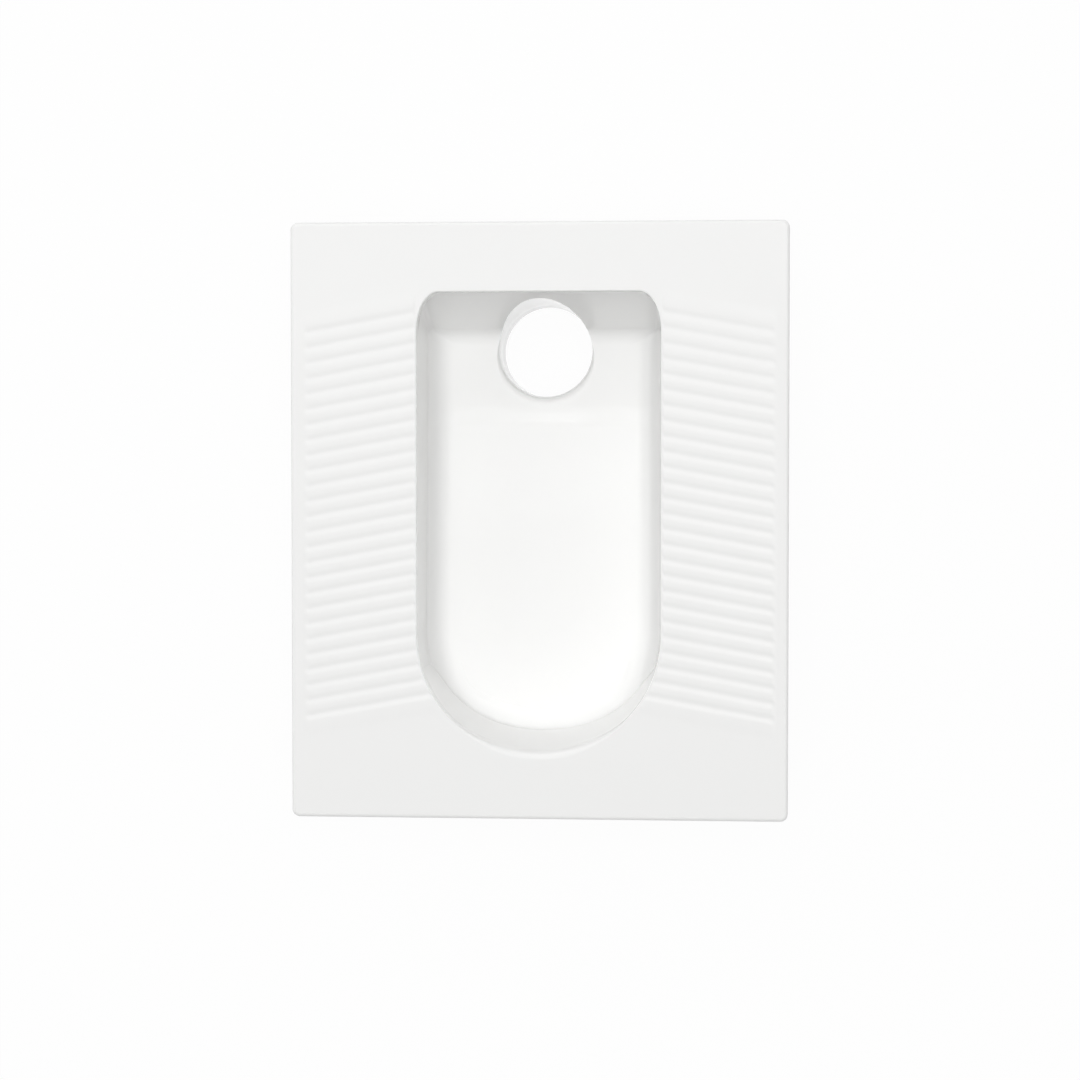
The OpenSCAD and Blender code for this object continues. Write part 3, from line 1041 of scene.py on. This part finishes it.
@dataclass
class DeckPlate(PanPart):
    """Flat top of the pan, with its softly rolled outer edge and the rolled rim."""

    rest: FootRest
    flat_gap: float = 0.2
    hair: float = 0.02
    flat_border: float = 1.0
    least_r: float = 0.05
    rest_gap: float = 0.5
    roll_steps: int = 10
    outline_steps: Steps = (6, 16, 8, 6, 16, 60)

    def outline(self) -> list[Station]:
        """Stations of half the opening, as the deck and its rim have them."""
        return self.sizes.half_outline(False, self.outline_steps)

    def rim_loop(self, shape: Callable[[float], Point2]) -> Loop:
        """Loop round the opening.

        Args:
            shape: Distance outside the opening and depth below the deck, by a station's turn.

        Returns:
            Points all the way round.
        """
        half = []
        for station in self.outline():
            out, depth = shape(station.turn)
            half.append((*station.beside(out), self.sizes.deck_h - depth))
        return mirrored(half)

    def deck_loop(self, inset: float, level: float) -> Loop:
        """Loop round the deck, inset from its edge.

        Args:
            inset: Distance inside the deck's outline.
            level: Height.

        Returns:
            Points all the way round.
        """
        s = self.sizes
        r = max(s.corner_r - inset, self.least_r)
        away = max(s.corner_r, inset + self.least_r)
        cx, cy = s.deck_w / 2 - away, s.deck_l / 2 - away
        points: Loop = []
        for sx, sy, start in CORNERS:
            corner = arc((sx * cx, sy * cy), r, start, start + 90, s.corner_steps)
            points += [(*place, level) for place in corner]
        return points

    def rim_side(self, gap: float) -> list[Point2]:
        """Right half of the flat top's inner edge, moved out by a gap."""
        out = self.flat_gap + gap
        return [one.beside(self.sizes.roll_edge(one.turn) + out) for one in self.outline()]

    def hole(self, level: float) -> Loop:
        """Edge of the deck's flat top, round the rim and both foot rests.

        Args:
            level: Height.

        Returns:
            Points all the way round.
        """
        border, edge = self.rest.border(), self.rim_side(0.0)
        end_y, foot_y = self.sizes.side_end_y, border[-1][1] - self.rest_gap
        half = [p for p in edge if p[1] > end_y] + [(self.rest.inner_r, end_y), *border]
        half += [p for p in edge if p[1] < foot_y]
        return mirrored([(*p, level) for p in half])

    def bed(self, side: Side, level: float) -> Loop:
        """Edge of the plate below one foot rest, a hair inside the hole that the rest fills.

        Args:
            side: Side of the foot rest.
            level: Height.

        Returns:
            Points all the way round.
        """
        h = self.hair
        (in_x, top_y), (out_x, out_top_y), (_, out_foot_y), (foot_x, foot_y) = self.rest.border()
        end_y = self.sizes.side_end_y
        points = [(out_x - h, out_foot_y + h), (out_x - h, out_top_y - h)]
        points += [(in_x + h, top_y - h), (in_x + h, end_y)]
        low, high = foot_y + self.rest_gap, end_y - self.rest_gap
        points += [p for p in self.rim_side(h) if low < p[1] < high]
        points.append((foot_x + h, foot_y + h))
        return [(side.value * x, y, level) for x, y in points]

    def build_deck(self) -> Piece:
        """Builds the deck plate, with a slab that closes it below each foot rest.

        Returns:
            The finished piece.
        """
        s = self.sizes
        made = Casting()
        loops = [self.deck_loop(0, s.under)]
        for px, py in arc((0, 0), s.edge_r, 0, 90, self.roll_steps):
            loops.append(self.deck_loop(s.edge_r - px, s.deck_h - s.edge_r + py))
        loops.append(self.deck_loop(s.edge_r + self.flat_border, s.deck_h))
        rings = made.stack(loops)
        top_hole, low_hole = made.loop(self.hole(s.deck_h)), made.loop(self.hole(s.under))
        made.flat([rings[-1], top_hole])
        made.flat([rings[0], low_hole], BARE)
        made.bridge(top_hole, low_hole, mark=BARE)
        bed_top = s.deck_h - self.rest.plate_under - self.hair
        for side in Side:
            for end in made.stack([self.bed(side, s.under), self.bed(side, bed_top)], mark=BARE):
                made.flat([end], BARE)
        return made.piece("deck_plate", self.finishes.china)

    def build_rim(self) -> Piece:
        """Builds the rolled rim of the opening.

        Returns:
            The finished piece.
        """
        s = self.sizes
        made = Casting()
        shares = [i / self.roll_steps for i in range(self.roll_steps + 1)]
        loops = [
            self.rim_loop(lambda turn, d=depth: (s.roll_edge(turn) + self.flat_gap, d))
            for depth in (s.deck_t, 0.0)
        ]
        loops += [self.rim_loop(lambda turn, t=share: s.rim_point(turn, t)) for share in shares]
        loops.append(self.rim_loop(lambda turn: (s.rim_foot(turn), s.deck_t)))
        rings = made.stack(loops)
        made.bridge(rings[-1], rings[0])
        return made.piece("rolled_rim", [self.finishes.glaze])


# --- Bowl -------------------------------------------------------------------------


@dataclass
class BowlCasting(PanPart):
    """Bowl and sump: leaning walls, fillets, sloping floor, brow, bell mouth and neck."""

    corner_run: float = 24.0
    tool_rise: float = 3.0
    bell_fade: float = 0.35
    neck_flare: float = 9.0
    neck_overlap: float = 4.0
    neck_top: float = 164.0
    crisp: float = 13.0
    wall_steps: int = 9
    fillet_steps: int = 14
    floor_steps: int = 28
    bore_steps: int = 160
    bell_steps: int = 10
    flare_steps: int = 8
    outline_steps: Steps = (8, 16, 14, 14, 30, 54)

    def wall_point(self, h: float, lean: float, r: float, k: int) -> Point2:
        """Places a step of the wall's profile.

        Args:
            h: Drop of the floor.
            lean: Lean of the wall in degrees.
            r: Radius of its fillet.
            k: Step of the profile.

        Returns:
            Distance in from the outline, and depth below the deck plate.
        """
        a = math.radians(lean)
        tangent = r * math.tan((math.pi / 2 - a) / 2)
        foot = h * math.tan(a)
        if k <= self.wall_steps:
            share = k / self.wall_steps
            return (foot - tangent * math.sin(a)) * share, (h - tangent * math.cos(a)) * share
        turn = (math.pi / 2 - a) * (1 - (k - self.wall_steps) / self.fillet_steps)
        return foot + tangent - r * math.sin(turn), h - r + r * math.cos(turn)

    def column(self, s: Station, grow: float) -> Loop:
        """Points of one station from the deck's underside down to the floor.

        Args:
            s: Station on the outline.
            grow: How far outside the glazed face the column lies.

        Returns:
            Points from the top down.
        """
        z = self.sizes
        px, py = s.beside(grow)
        inner_r = mix(z.fillet_r, z.round_fillet_r, smooth(s.turn / z.round_fillet_full))
        h = z.floor_depth(py) + grow - z.deck_t
        made: Loop = []
        last = self.wall_steps + self.fillet_steps
        for k in range(last + 1):
            side, side_drop = self.wall_point(h, z.side_lean, inner_r + grow, k)
            back, back_drop = self.wall_point(h, z.back_lean, z.back_fillet_r + grow, k)
            drop = mix(back_drop, side_drop, s.side_share)
            tighter = smooth(drop / self.corner_run)
            x = px - side * s.side_run[0] - back * s.end_run[0] + tighter * s.spread[0]
            y = py - side * s.side_run[1] - back * s.end_run[1] + tighter * s.spread[1]
            if k == last:
                drop = max(z.floor_depth(y) + grow - z.deck_t, drop)
            made.append((x, y, z.under - drop))
        return made

    def well(self, grow: float, rise: float, mark: int) -> Piece:
        """Makes the bowl's hollow as a solid, grown outwards.

        Args:
            grow: How far outside the glazed face it reaches.
            rise: How far it stands up above the deck plate's underside.
            mark: Number of its material.

        Returns:
            Closed solid.
        """
        made = Casting()
        half = [self.column(s, grow) for s in self.sizes.half_outline(True, self.outline_steps)]
        if rise:
            half = [[(one[0][0], one[0][1], one[0][2] + rise), *one] for one in half]
        columns = [made.loop(one) for one in mirrored(half)]
        for one, two in zip(columns, columns[1:] + columns[:1]):
            made.bridge(one, two, closed=False, mark=mark)
        made.face([one[0] for one in columns], mark)
        end_n = self.outline_steps[0]
        rows = []
        for i in range(end_n + 1, len(half) - 1):
            x, y, z = half[i][-1]
            shares = (k / self.floor_steps for k in range(1, self.floor_steps))
            inner = made.loop([(mix(x, -x, share), y, z) for share in shares])
            rows.append([columns[i][-1], *inner, columns[-i][-1]])
        for one, two in zip(rows, rows[1:]):
            made.bridge(one, two, closed=False, mark=mark)
        made.face([one[-1] for one in columns[-end_n:] + columns[: end_n + 1]] + rows[0], mark)
        made.face(rows[-1] + [columns[len(half) - 1][-1]], mark)
        return made.piece("well", self.finishes.china, NEVER_CRISP)

    def outlet_tool(self) -> Piece:
        """Makes what the outlet takes out: a bore with a bell mouth that fades out.

        Returns:
            Closed solid.
        """
        z = self.sizes
        made = Casting()
        bends = arc((1.0, 0.0), 1.0, 180, 90, self.bell_steps)
        profile = [(out, z.sump_z - z.bell_r + z.bell_r * up) for out, up in bends]
        loops: list[Loop] = []
        for out, level in [(0.0, z.neck_foot - 1), *profile, (1.0, z.deck_h)]:
            ring = []
            for a in (2 * math.pi * i / self.bore_steps for i in range(self.bore_steps)):
                bell = smooth((self.bell_fade - math.sin(a)) / (1 + self.bell_fade))
                r = z.bore_r + z.bell_r * bell * out
                ring.append((r * math.cos(a), z.outlet_y + r * math.sin(a), level))
            loops.append(ring)
        rings = made.stack(loops)
        made.face(rings[0])
        made.face(rings[-1][::-1])
        return made.piece("outlet_tool", self.finishes.china, NEVER_CRISP)

    def neck(self) -> Piece:
        """Makes the neck under the sump, flared where it meets the floor.

        Returns:
            Closed solid.
        """
        z = self.sizes
        under, wide = z.sump_z - z.wall_t, z.neck_r + self.neck_flare
        profile = [(z.neck_r, z.neck_foot)]
        profile += arc((wide, under - self.neck_flare), self.neck_flare, 180, 90, self.flare_steps)
        profile += [(r, under + self.neck_overlap) for r in (wide, z.neck_r)]
        profile.append((z.neck_r, self.neck_top))
        foot = (0, z.outlet_y, 0)
        china = self.finishes.china
        made = turned("neck", profile, foot, Axis.UP, china, sharp=NEVER_CRISP, closed=False)
        for poly in made.data.polygons:
            poly.material_index = BARE
        return made

    def build(self) -> Piece:
        """Builds the casting.

        Returns:
            The finished piece.
        """
        z = self.sizes
        made = self.well(z.wall_t, 0.0, BARE)
        bore = [(z.horn_bore_r, 0), (z.horn_bore_r, z.channel_w + 2 * z.wall_t)]
        start = (0, z.round_y, z.horn_z)
        glaze = [self.finishes.glaze]
        cut(made, "UNION", self.neck())
        cut(made, "DIFFERENCE", self.well(0.0, self.tool_rise, GLAZED))
        cut(made, "DIFFERENCE", self.outlet_tool())
        hole = turned("hole", bore, start, Axis.TO_FLUSH_END, glaze, closed=False)
        cut(made, "DIFFERENCE", hole)
        made.name = made.data.name = "bowl_and_sump"
        tidy(made, self.crisp)
        return made


@dataclass
class FlushLip(PanPart):
    """Lip that hangs in front of the flush channel at the round end."""

    thickness: float = 8.0
    lean: float = 13.0
    least_lean: float = 3.0
    foot_z: float = 118.0
    edge: float = 3.2
    edge_share: float = 2.2
    face_foot: float = 1.3  # in radii of the edge, above the foot
    edge_start: float = 164.0
    edge_steps: tuple[int, int] = (8, 6)
    start: float = 15.5
    emerge: float = 14.0
    buried: float = 0.5
    face_steps: int = 8
    steps: int = 130

    def section(self, angle: float) -> Loop:
        """Section of the lip at an angle from the side of the round end.

        Args:
            angle: Angle in degrees, 0 to 180.

        Returns:
            Points round the section.
        """
        z = self.sizes
        a = min(angle, 180 - angle)
        t = min(self.thickness, z.channel_at(a))
        e = min(self.edge, t / self.edge_share)
        h = z.under - self.foot_z
        out = smooth((a - self.start) / self.emerge)
        inset = mix(-self.buried, h * math.tan(math.radians(self.least_lean)), out)
        inset += self.lean * smooth((a - z.channel_from) / (90 - z.channel_from))
        top = z.rim_foot(a) + self.buried * (1 - out)
        shares = [k / self.face_steps for k in range(self.face_steps)]
        face_foot = self.foot_z + self.face_foot * e
        face_n, back_n = self.edge_steps
        points = [(z.open_r + mix(top, -inset, s), mix(z.under, face_foot, s)) for s in shares]
        face, foot = z.open_r - inset, self.foot_z
        points += arc((face + e, foot + e), e, self.edge_start, 270, face_n)
        points += arc((face + t - e, foot + e), e, 270, 360, back_n)
        points.append((z.open_r + t, z.under))
        cos, sin = math.cos(math.radians(angle)), math.sin(math.radians(angle))
        return [(r * cos, z.round_cy - r * sin, level) for r, level in points]

    def build(self) -> Piece:
        """Builds the lip.

        Returns:
            The finished piece.
        """
        made = Casting()
        angles = [mix(self.start, 180 - self.start, i / self.steps) for i in range(self.steps + 1)]
        rings = made.stack([self.section(angle) for angle in angles])
        made.face(rings[0][::-1])
        made.face(rings[-1])
        return made.piece("flush_lip_casting", [self.finishes.glaze])


# --- Underside --------------------------------------------------------------------


@dataclass
class Skirt(PanPart):
    """Turned-down edge of the deck, with an arch for the inlet horn."""

    height: float = 62.0
    thickness: float = 12.0
    edge: float = 2.5
    edge_steps: int = 5
    glazed_steps: int = 4
    arch_r: float = 36.0
    arch_foot: float = 6.0
    arch_steps: int = 24

    def outline(self) -> list[tuple[float, float, float, float, float]]:
        """Stations round the skirt.

        Returns:
            Place, outward normal and level of the skirt's foot, all the way round.
        """
        s = self.sizes
        foot = s.under - self.height
        made = []
        w, l, r = s.deck_w / 2, s.deck_l / 2, s.corner_r
        for sx, sy, start in CORNERS:
            for nx, ny in arc((0, 0), 1, start, start + 90, s.corner_steps):
                made.append((sx * (w - r) + r * nx, sy * (l - r) + r * ny, nx, ny, foot))
            if (sx, sy) == (-1, -1):
                arch = arc((0, s.horn_z), self.arch_r, 180, 0, self.arch_steps)
                ends = [(self.arch_r, foot), (self.arch_r + self.arch_foot, foot)]
                arch = flip(ends[::-1]) + arch + ends
                made += [(x, -l, 0, -1, level) for x, level in arch]
        return made

    def build(self) -> Piece:
        """Builds the skirt.

        Returns:
            The finished piece.
        """
        top, e, t = self.sizes.under, self.edge, self.thickness
        made = Casting()
        low = arc((e, e), e, 180, 270, self.edge_steps)
        low += arc((t - e, e), e, 270, 360, self.edge_steps)
        columns = []
        for x, y, nx, ny, foot in self.outline():
            column = []
            for inset, level in [(0.0, top), *((px, foot + py) for px, py in low), (t, top)]:
                far_x, far_y = self.sizes.deck_w / 2 - inset, self.sizes.deck_l / 2 - inset
                in_x, in_y = x - inset * nx, y - inset * ny
                column.append((clamp(in_x, -far_x, far_x), clamp(in_y, -far_y, far_y), level))
            columns.append(made.loop(column))
        for one, two in zip(columns, columns[1:] + columns[:1]):
            for k in range(len(one)):
                corners = (one[k], two[k], two[k - len(one) + 1], one[k - len(one) + 1])
                made.face(corners, GLAZED if k < self.glazed_steps else BARE)
        return made.piece("turned_down_skirt", self.finishes.china)


@dataclass
class CastRib:
    """Underside casting that keeps its CAD shape and gets softened free edges."""

    finishes: Finishes
    node: str
    name: str
    edge: float
    below: float
    weld: float = 0.01
    least_bend: float = 1.0
    edge_bend: float = 35.0
    edge_segments: int = 4
    crisp: float = 30.0

    def build(self) -> Piece:
        """Builds the softened copy of the node.

        Returns:
            The finished piece.
        """
        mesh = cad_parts[self.node].data.copy()
        made = add_object(self.name, mesh)
        mesh.materials.clear()
        mesh.materials.append(self.finishes.under)
        work = bmesh.new()
        work.from_mesh(mesh)
        bmesh.ops.remove_doubles(work, verts=work.verts, dist=self.weld * MM)
        bend = math.radians(self.least_bend)
        bmesh.ops.dissolve_limit(work, angle_limit=bend, verts=work.verts, edges=work.edges)
        sharp = [
            e
            for e in work.edges
            if len(e.link_faces) == 2
            and e.calc_face_angle() > math.radians(self.edge_bend)
            and max(v.co.z for v in e.verts) < self.below * MM
        ]
        look = {"offset": self.edge * MM, "segments": self.edge_segments, "profile": 0.5}
        bmesh.ops.bevel(work, geom=sharp, affect="EDGES", **look)
        for one in work.faces:
            one.material_index = 0
        work.to_mesh(mesh)
        work.free()
        tidy(made, self.crisp)
        return made


@dataclass
class InletHorn(PanPart):
    """Socket for the flush pipe, with its rubber sleeve."""

    outer_r: float = 28.0
    start_y: float = -252.0
    length: float = 42.0
    root: float = 5.0
    root_h: float = 11.5
    mouth_edge: float = 2.0
    pipe_r: float = 16.0
    sleeve: float = 26.0
    flange: float = 5.0
    flange_out: float = 2.0
    flange_edge: float = 3.0
    flange_back: float = 0.8
    lead: Point2 = (0.8, 1.5)
    inner_lead: float = 0.6
    first_lip: float = 6.0
    lip_count: int = 3
    lip_pitch: float = 8.0
    lip: tuple[Point2, ...] = ((0.8, 2.2), (0.8, 1.2), (0.0, 0.0), (0.8, -1.2))
    mouth_steps: int = 5
    roll_steps: int = 6
    flange_steps: int = 8

    def build_horn(self) -> Piece:
        """Builds the china horn.

        Returns:
            The finished piece.
        """
        i, n, e, root = self.sizes.horn_bore_r, self.length, self.mouth_edge, self.root
        wide = self.outer_r + root
        profile = [(i, 0), (wide, 0), (wide, self.root_h)]
        profile += arc((wide, self.root_h + root), root, 270, 180, self.roll_steps)
        profile += arc((self.outer_r - e, n - e), e, 0, 90, self.mouth_steps)
        profile += arc((i + e, n - e), e, 90, 180, self.mouth_steps)
        start = (0, self.start_y, self.sizes.horn_z)
        under = [self.finishes.under]
        return turned("inlet_horn_casting", profile, start, Axis.TO_FLUSH_END, under)

    def build_sleeve(self) -> Piece:
        """Builds the rubber sleeve, with rolled flange and lips on its bore.

        Returns:
            The finished piece.
        """
        r, o, n = self.pipe_r, self.sizes.horn_bore_r, self.length
        e, roll = self.flange_edge, self.mouth_edge
        lead_in, lead_up = self.lead
        start, end = n - self.sleeve, n + self.flange
        wide = self.outer_r + self.flange_out
        profile = [(r + self.inner_lead, start), (o - lead_in, start), (o, start + lead_up)]
        profile += [(o, n), (wide - self.flange_back, n)]
        profile += arc((wide - roll, end - roll), roll, 0, 90, self.roll_steps)
        profile += arc((r + e, end - e), e, 90, 180, self.flange_steps)
        for k in range(self.lip_count):
            mid = end - e - self.first_lip - self.lip_pitch * k
            profile += [(r + out, mid + up) for out, up in self.lip]
        start = (0, self.start_y, self.sizes.horn_z)
        rubber = [self.finishes.rubber]
        return turned("inlet_sleeve", profile, start, Axis.TO_FLUSH_END, rubber)


@dataclass
class OutletSpigot(PanPart):
    """Spigot that goes into the drain, with its collar and rubber ring."""

    outer_r: float = 55.0
    seat_r: float = 56.0
    collar: float = 8.0
    collar_edge: float = 2.0
    foot_edges: Point2 = (1.5, 2.5)
    seat_ease: float = 1.0
    bore_reach: float = 0.5  # a face whose middle lies this near the bore is glazed
    edge_steps: tuple[int, int] = (4, 5)
    ring_h: float = 10.0
    # Ring's section: distance outside the seat, and height
    ring: tuple[Point2, ...] = (
        (0, 0), (3.0, 0), (4.1, 0.8), (4.5, 2.0), (7.8, 3.6), (9.0, 4.8), (9.0, 6.0),
        (8.0, 6.4), (4.9, 5.4), (4.5, 6.6), (4.5, 8.8), (3.5, 10.0), (0, 10.0),
    )
    steps: int = 160
    ring_crisp: float = 50.0

    @property
    def seat_z(self) -> float:
        """Level of the step that the rubber ring hangs from."""
        return self.sizes.neck_foot - self.collar

    def build_spigot(self) -> Piece:
        """Builds the china spigot, whose bore is glazed as the sump is.

        Returns:
            The finished piece.
        """
        z = self.sizes
        i, o, c = z.bore_r, self.outer_r, z.neck_r
        low, foot = self.seat_z, self.seat_z - self.ring_h
        inner_e, outer_e, collar_e = *self.foot_edges, self.collar_edge
        few, more = self.edge_steps
        profile = [(i, z.neck_foot), *arc((i + inner_e, inner_e), inner_e, 180, 270, few)]
        profile += arc((o - outer_e, outer_e), outer_e, 270, 360, more)
        profile += [(o, foot - self.seat_ease), (self.seat_r, foot), (self.seat_r, low)]
        profile += arc((c - collar_e, low + collar_e), collar_e, 270, 360, few)
        profile.append((c, z.neck_foot))
        china = [self.finishes.under, self.finishes.glaze]
        place = (0, z.outlet_y, 0)
        made = turned("outlet_spigot_casting", profile, place, Axis.UP, china, steps=self.steps)
        for poly in made.data.polygons:
            away = poly.center - Vector((0, z.outlet_y * MM, poly.center.z))
            poly.material_index = 1 if away.length < (i + self.bore_reach) * MM else 0
        return made

    def build_ring(self) -> Piece:
        """Builds the rubber ring with its two fins.

        Returns:
            The finished piece.
        """
        profile = [(self.seat_r + out, up) for out, up in self.ring]
        place = (0, self.sizes.outlet_y, self.seat_z - self.ring_h)
        rubber = [self.finishes.rubber]
        return turned(
            "outlet_ring", profile, place, Axis.UP, rubber, steps=self.steps, sharp=self.ring_crisp
        )


# --- Studio -----------------------------------------------------------------------


@dataclass
class Studio:
    """Camera, soft lamps, white surround and floor, in metres."""

    foot: Point2 = (0.150, 0.085)
    height: float = 2.4
    aim: Point3 = (0.0019, 0.0140, 0.2)
    lens: float = 73.465
    film: float = 36.0
    shift_y: float = -0.030
    view_end: float = 50.0
    lamp_aim: Point3 = (0.0, 0.0, 0.15)
    surround_light: float = 0.265
    floor_half: float = 4.0

    def camera(self) -> None:
        """Puts the camera over the pan, a little to the right of its middle."""
        data = bpy.data.cameras.new("camera")
        data.lens = self.lens
        data.sensor_width = self.film
        data.shift_y = self.shift_y
        data.clip_end = self.view_end
        place = Vector((*self.foot, self.height))
        look = (Vector(self.aim) - place).normalized()
        right = look.cross(Vector((0, 1, 0))).normalized()
        turn = Matrix((right, right.cross(look), -look)).transposed()
        made = add_object("camera", data)
        made.matrix_world = Matrix.Translation(place) @ turn.to_4x4()
        bpy.context.scene.camera = made

    def lamp(
        self, name: str, place: Point3, size: float, power: float, mirrored: bool = True
    ) -> None:
        """Adds a soft box that faces the pan.

        Args:
            name: Lamp's name.
            place: Where it hangs.
            size: Side of its square face.
            power: Power in watts.
            mirrored: Whether the glaze mirrors the box. The deck lies square under the
                camera and would show the ceiling's box as a pale patch.
        """
        data = bpy.data.lights.new(name, "AREA")
        data.shape = "SQUARE"
        data.size = size
        data.energy = power
        made = add_object(name, data)
        made.visible_glossy = mirrored
        made.location = place
        look = Vector(self.lamp_aim) - Vector(place)
        made.rotation_euler = look.to_track_quat("-Z", "Y").to_euler()

    def surround(self) -> None:
        """Makes the world: white to the camera and in the glaze, an even soft light to the pan."""
        world = bpy.data.worlds.new("white_room")
        tree = cleared(world)
        look = {"Color": (1, 1, 1, 1), "Strength": self.surround_light}
        soft = add_node(tree, "ShaderNodeBackground", look)[0]
        white = add_node(tree, "ShaderNodeBackground", {"Color": (1, 1, 1, 1)})[0]
        look = {0: sharp_rays(tree), 1: soft, 2: white}
        both = add_node(tree, "ShaderNodeMixShader", look)[0]
        add_node(tree, "ShaderNodeOutputWorld", {"Surface": both})
        bpy.context.scene.world = world

    def floor(self) -> None:
        """Lays the paper under the pan."""
        h = self.floor_half
        mesh = bpy.data.meshes.new("studio_floor")
        mesh.from_pydata([(-h, -h, 0), (h, -h, 0), (h, h, 0), (-h, h, 0)], [], [(0, 1, 2, 3)])
        mesh.materials.append(StudioPaper().material())
        add_object("studio_floor", mesh)

    def build(self) -> None:
        """Sets up the whole studio."""
        self.camera()
        self.surround()
        self.lamp("ceiling_soft_box", (0.0, 0.3, 6.0), 3.0, 149.0, mirrored=False)
        self.lamp("key_soft_box", (-0.3, 2.6, 5.4), 4.6, 30.0)
        self.lamp("left_soft_box", (-4.5, 0.5, 2.5), 4.0, 20.0)
        self.lamp("corner_soft_box", (-3.2, 3.2, 3.5), 4.0, 15.5)
        self.lamp("right_soft_box", (2.6, 0.5, 5.0), 4.6, 18.5)
        self.lamp("end_soft_box", (-0.6, 4.5, 3.0), 3.0, 28.0)
        self.lamp("catch_light", (-0.38, 2.6, 5.4), 0.3, 0.57)
        self.floor()
        bpy.context.scene.view_settings.view_transform = "Standard"


# --- Assembly ---------------------------------------------------------------------


def settle(piece: Piece, slot: str, *nodes: str) -> None:
    """Rides a piece on the pan, in the place of its CAD nodes, and reports it.

    Args:
        piece: Finished piece.
        slot: Material slot of the record; not used.
        *nodes: CAD nodes that it replaces.
    """
    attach(piece, "root")
    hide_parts(*nodes)
    LOG.info("%s: %d faces, stands for %s", piece.name, len(piece.data.polygons), ", ".join(nodes))


def main() -> None:
    """Builds the pan's pieces in order, then the studio."""
    logging.basicConfig(level=logging.INFO, format="%(message)s")
    sizes, finishes = PanSizes(), Finishes()
    right = FootRest(sizes, finishes, Side.RIGHT)
    left = FootRest(sizes, finishes, Side.LEFT)
    deck = DeckPlate(sizes, finishes, right)
    webs = CastRib(finishes, "deck_webs", "deck_web_castings", edge=2.5, below=181)
    leg = CastRib(finishes, "cross_leg", "cross_leg_casting", edge=3.0, below=70)
    horn = InletHorn(sizes, finishes)
    spigot = OutletSpigot(sizes, finishes)
    walls = ("left_skirt", "right_skirt", "outlet_end_skirt", "flush_end_skirt")
    settle(deck.build_deck(), "glazed_china", "deck")
    settle(deck.build_rim(), "glazed_china", "rim")
    settle(right.build(), "glazed_china", "right_tread")
    settle(left.build(), "glazed_china", "left_tread")
    settle(BowlCasting(sizes, finishes).build(), "glazed_china", "bowl", "sump")
    settle(FlushLip(sizes, finishes).build(), "glazed_china", "flush_lip")
    settle(Skirt(sizes, finishes).build(), "glazed_china", *walls)
    settle(webs.build(), "unglazed_china", "deck_webs")
    settle(leg.build(), "unglazed_china", "cross_leg")
    settle(horn.build_horn(), "unglazed_china", "inlet_horn")
    settle(horn.build_sleeve(), "rubber", "inlet_seal")
    settle(spigot.build_spigot(), "unglazed_china", "outlet_spigot")
    settle(spigot.build_ring(), "rubber", "outlet_seal")
    Studio().build()


if __name__ == "__main__":
    main()
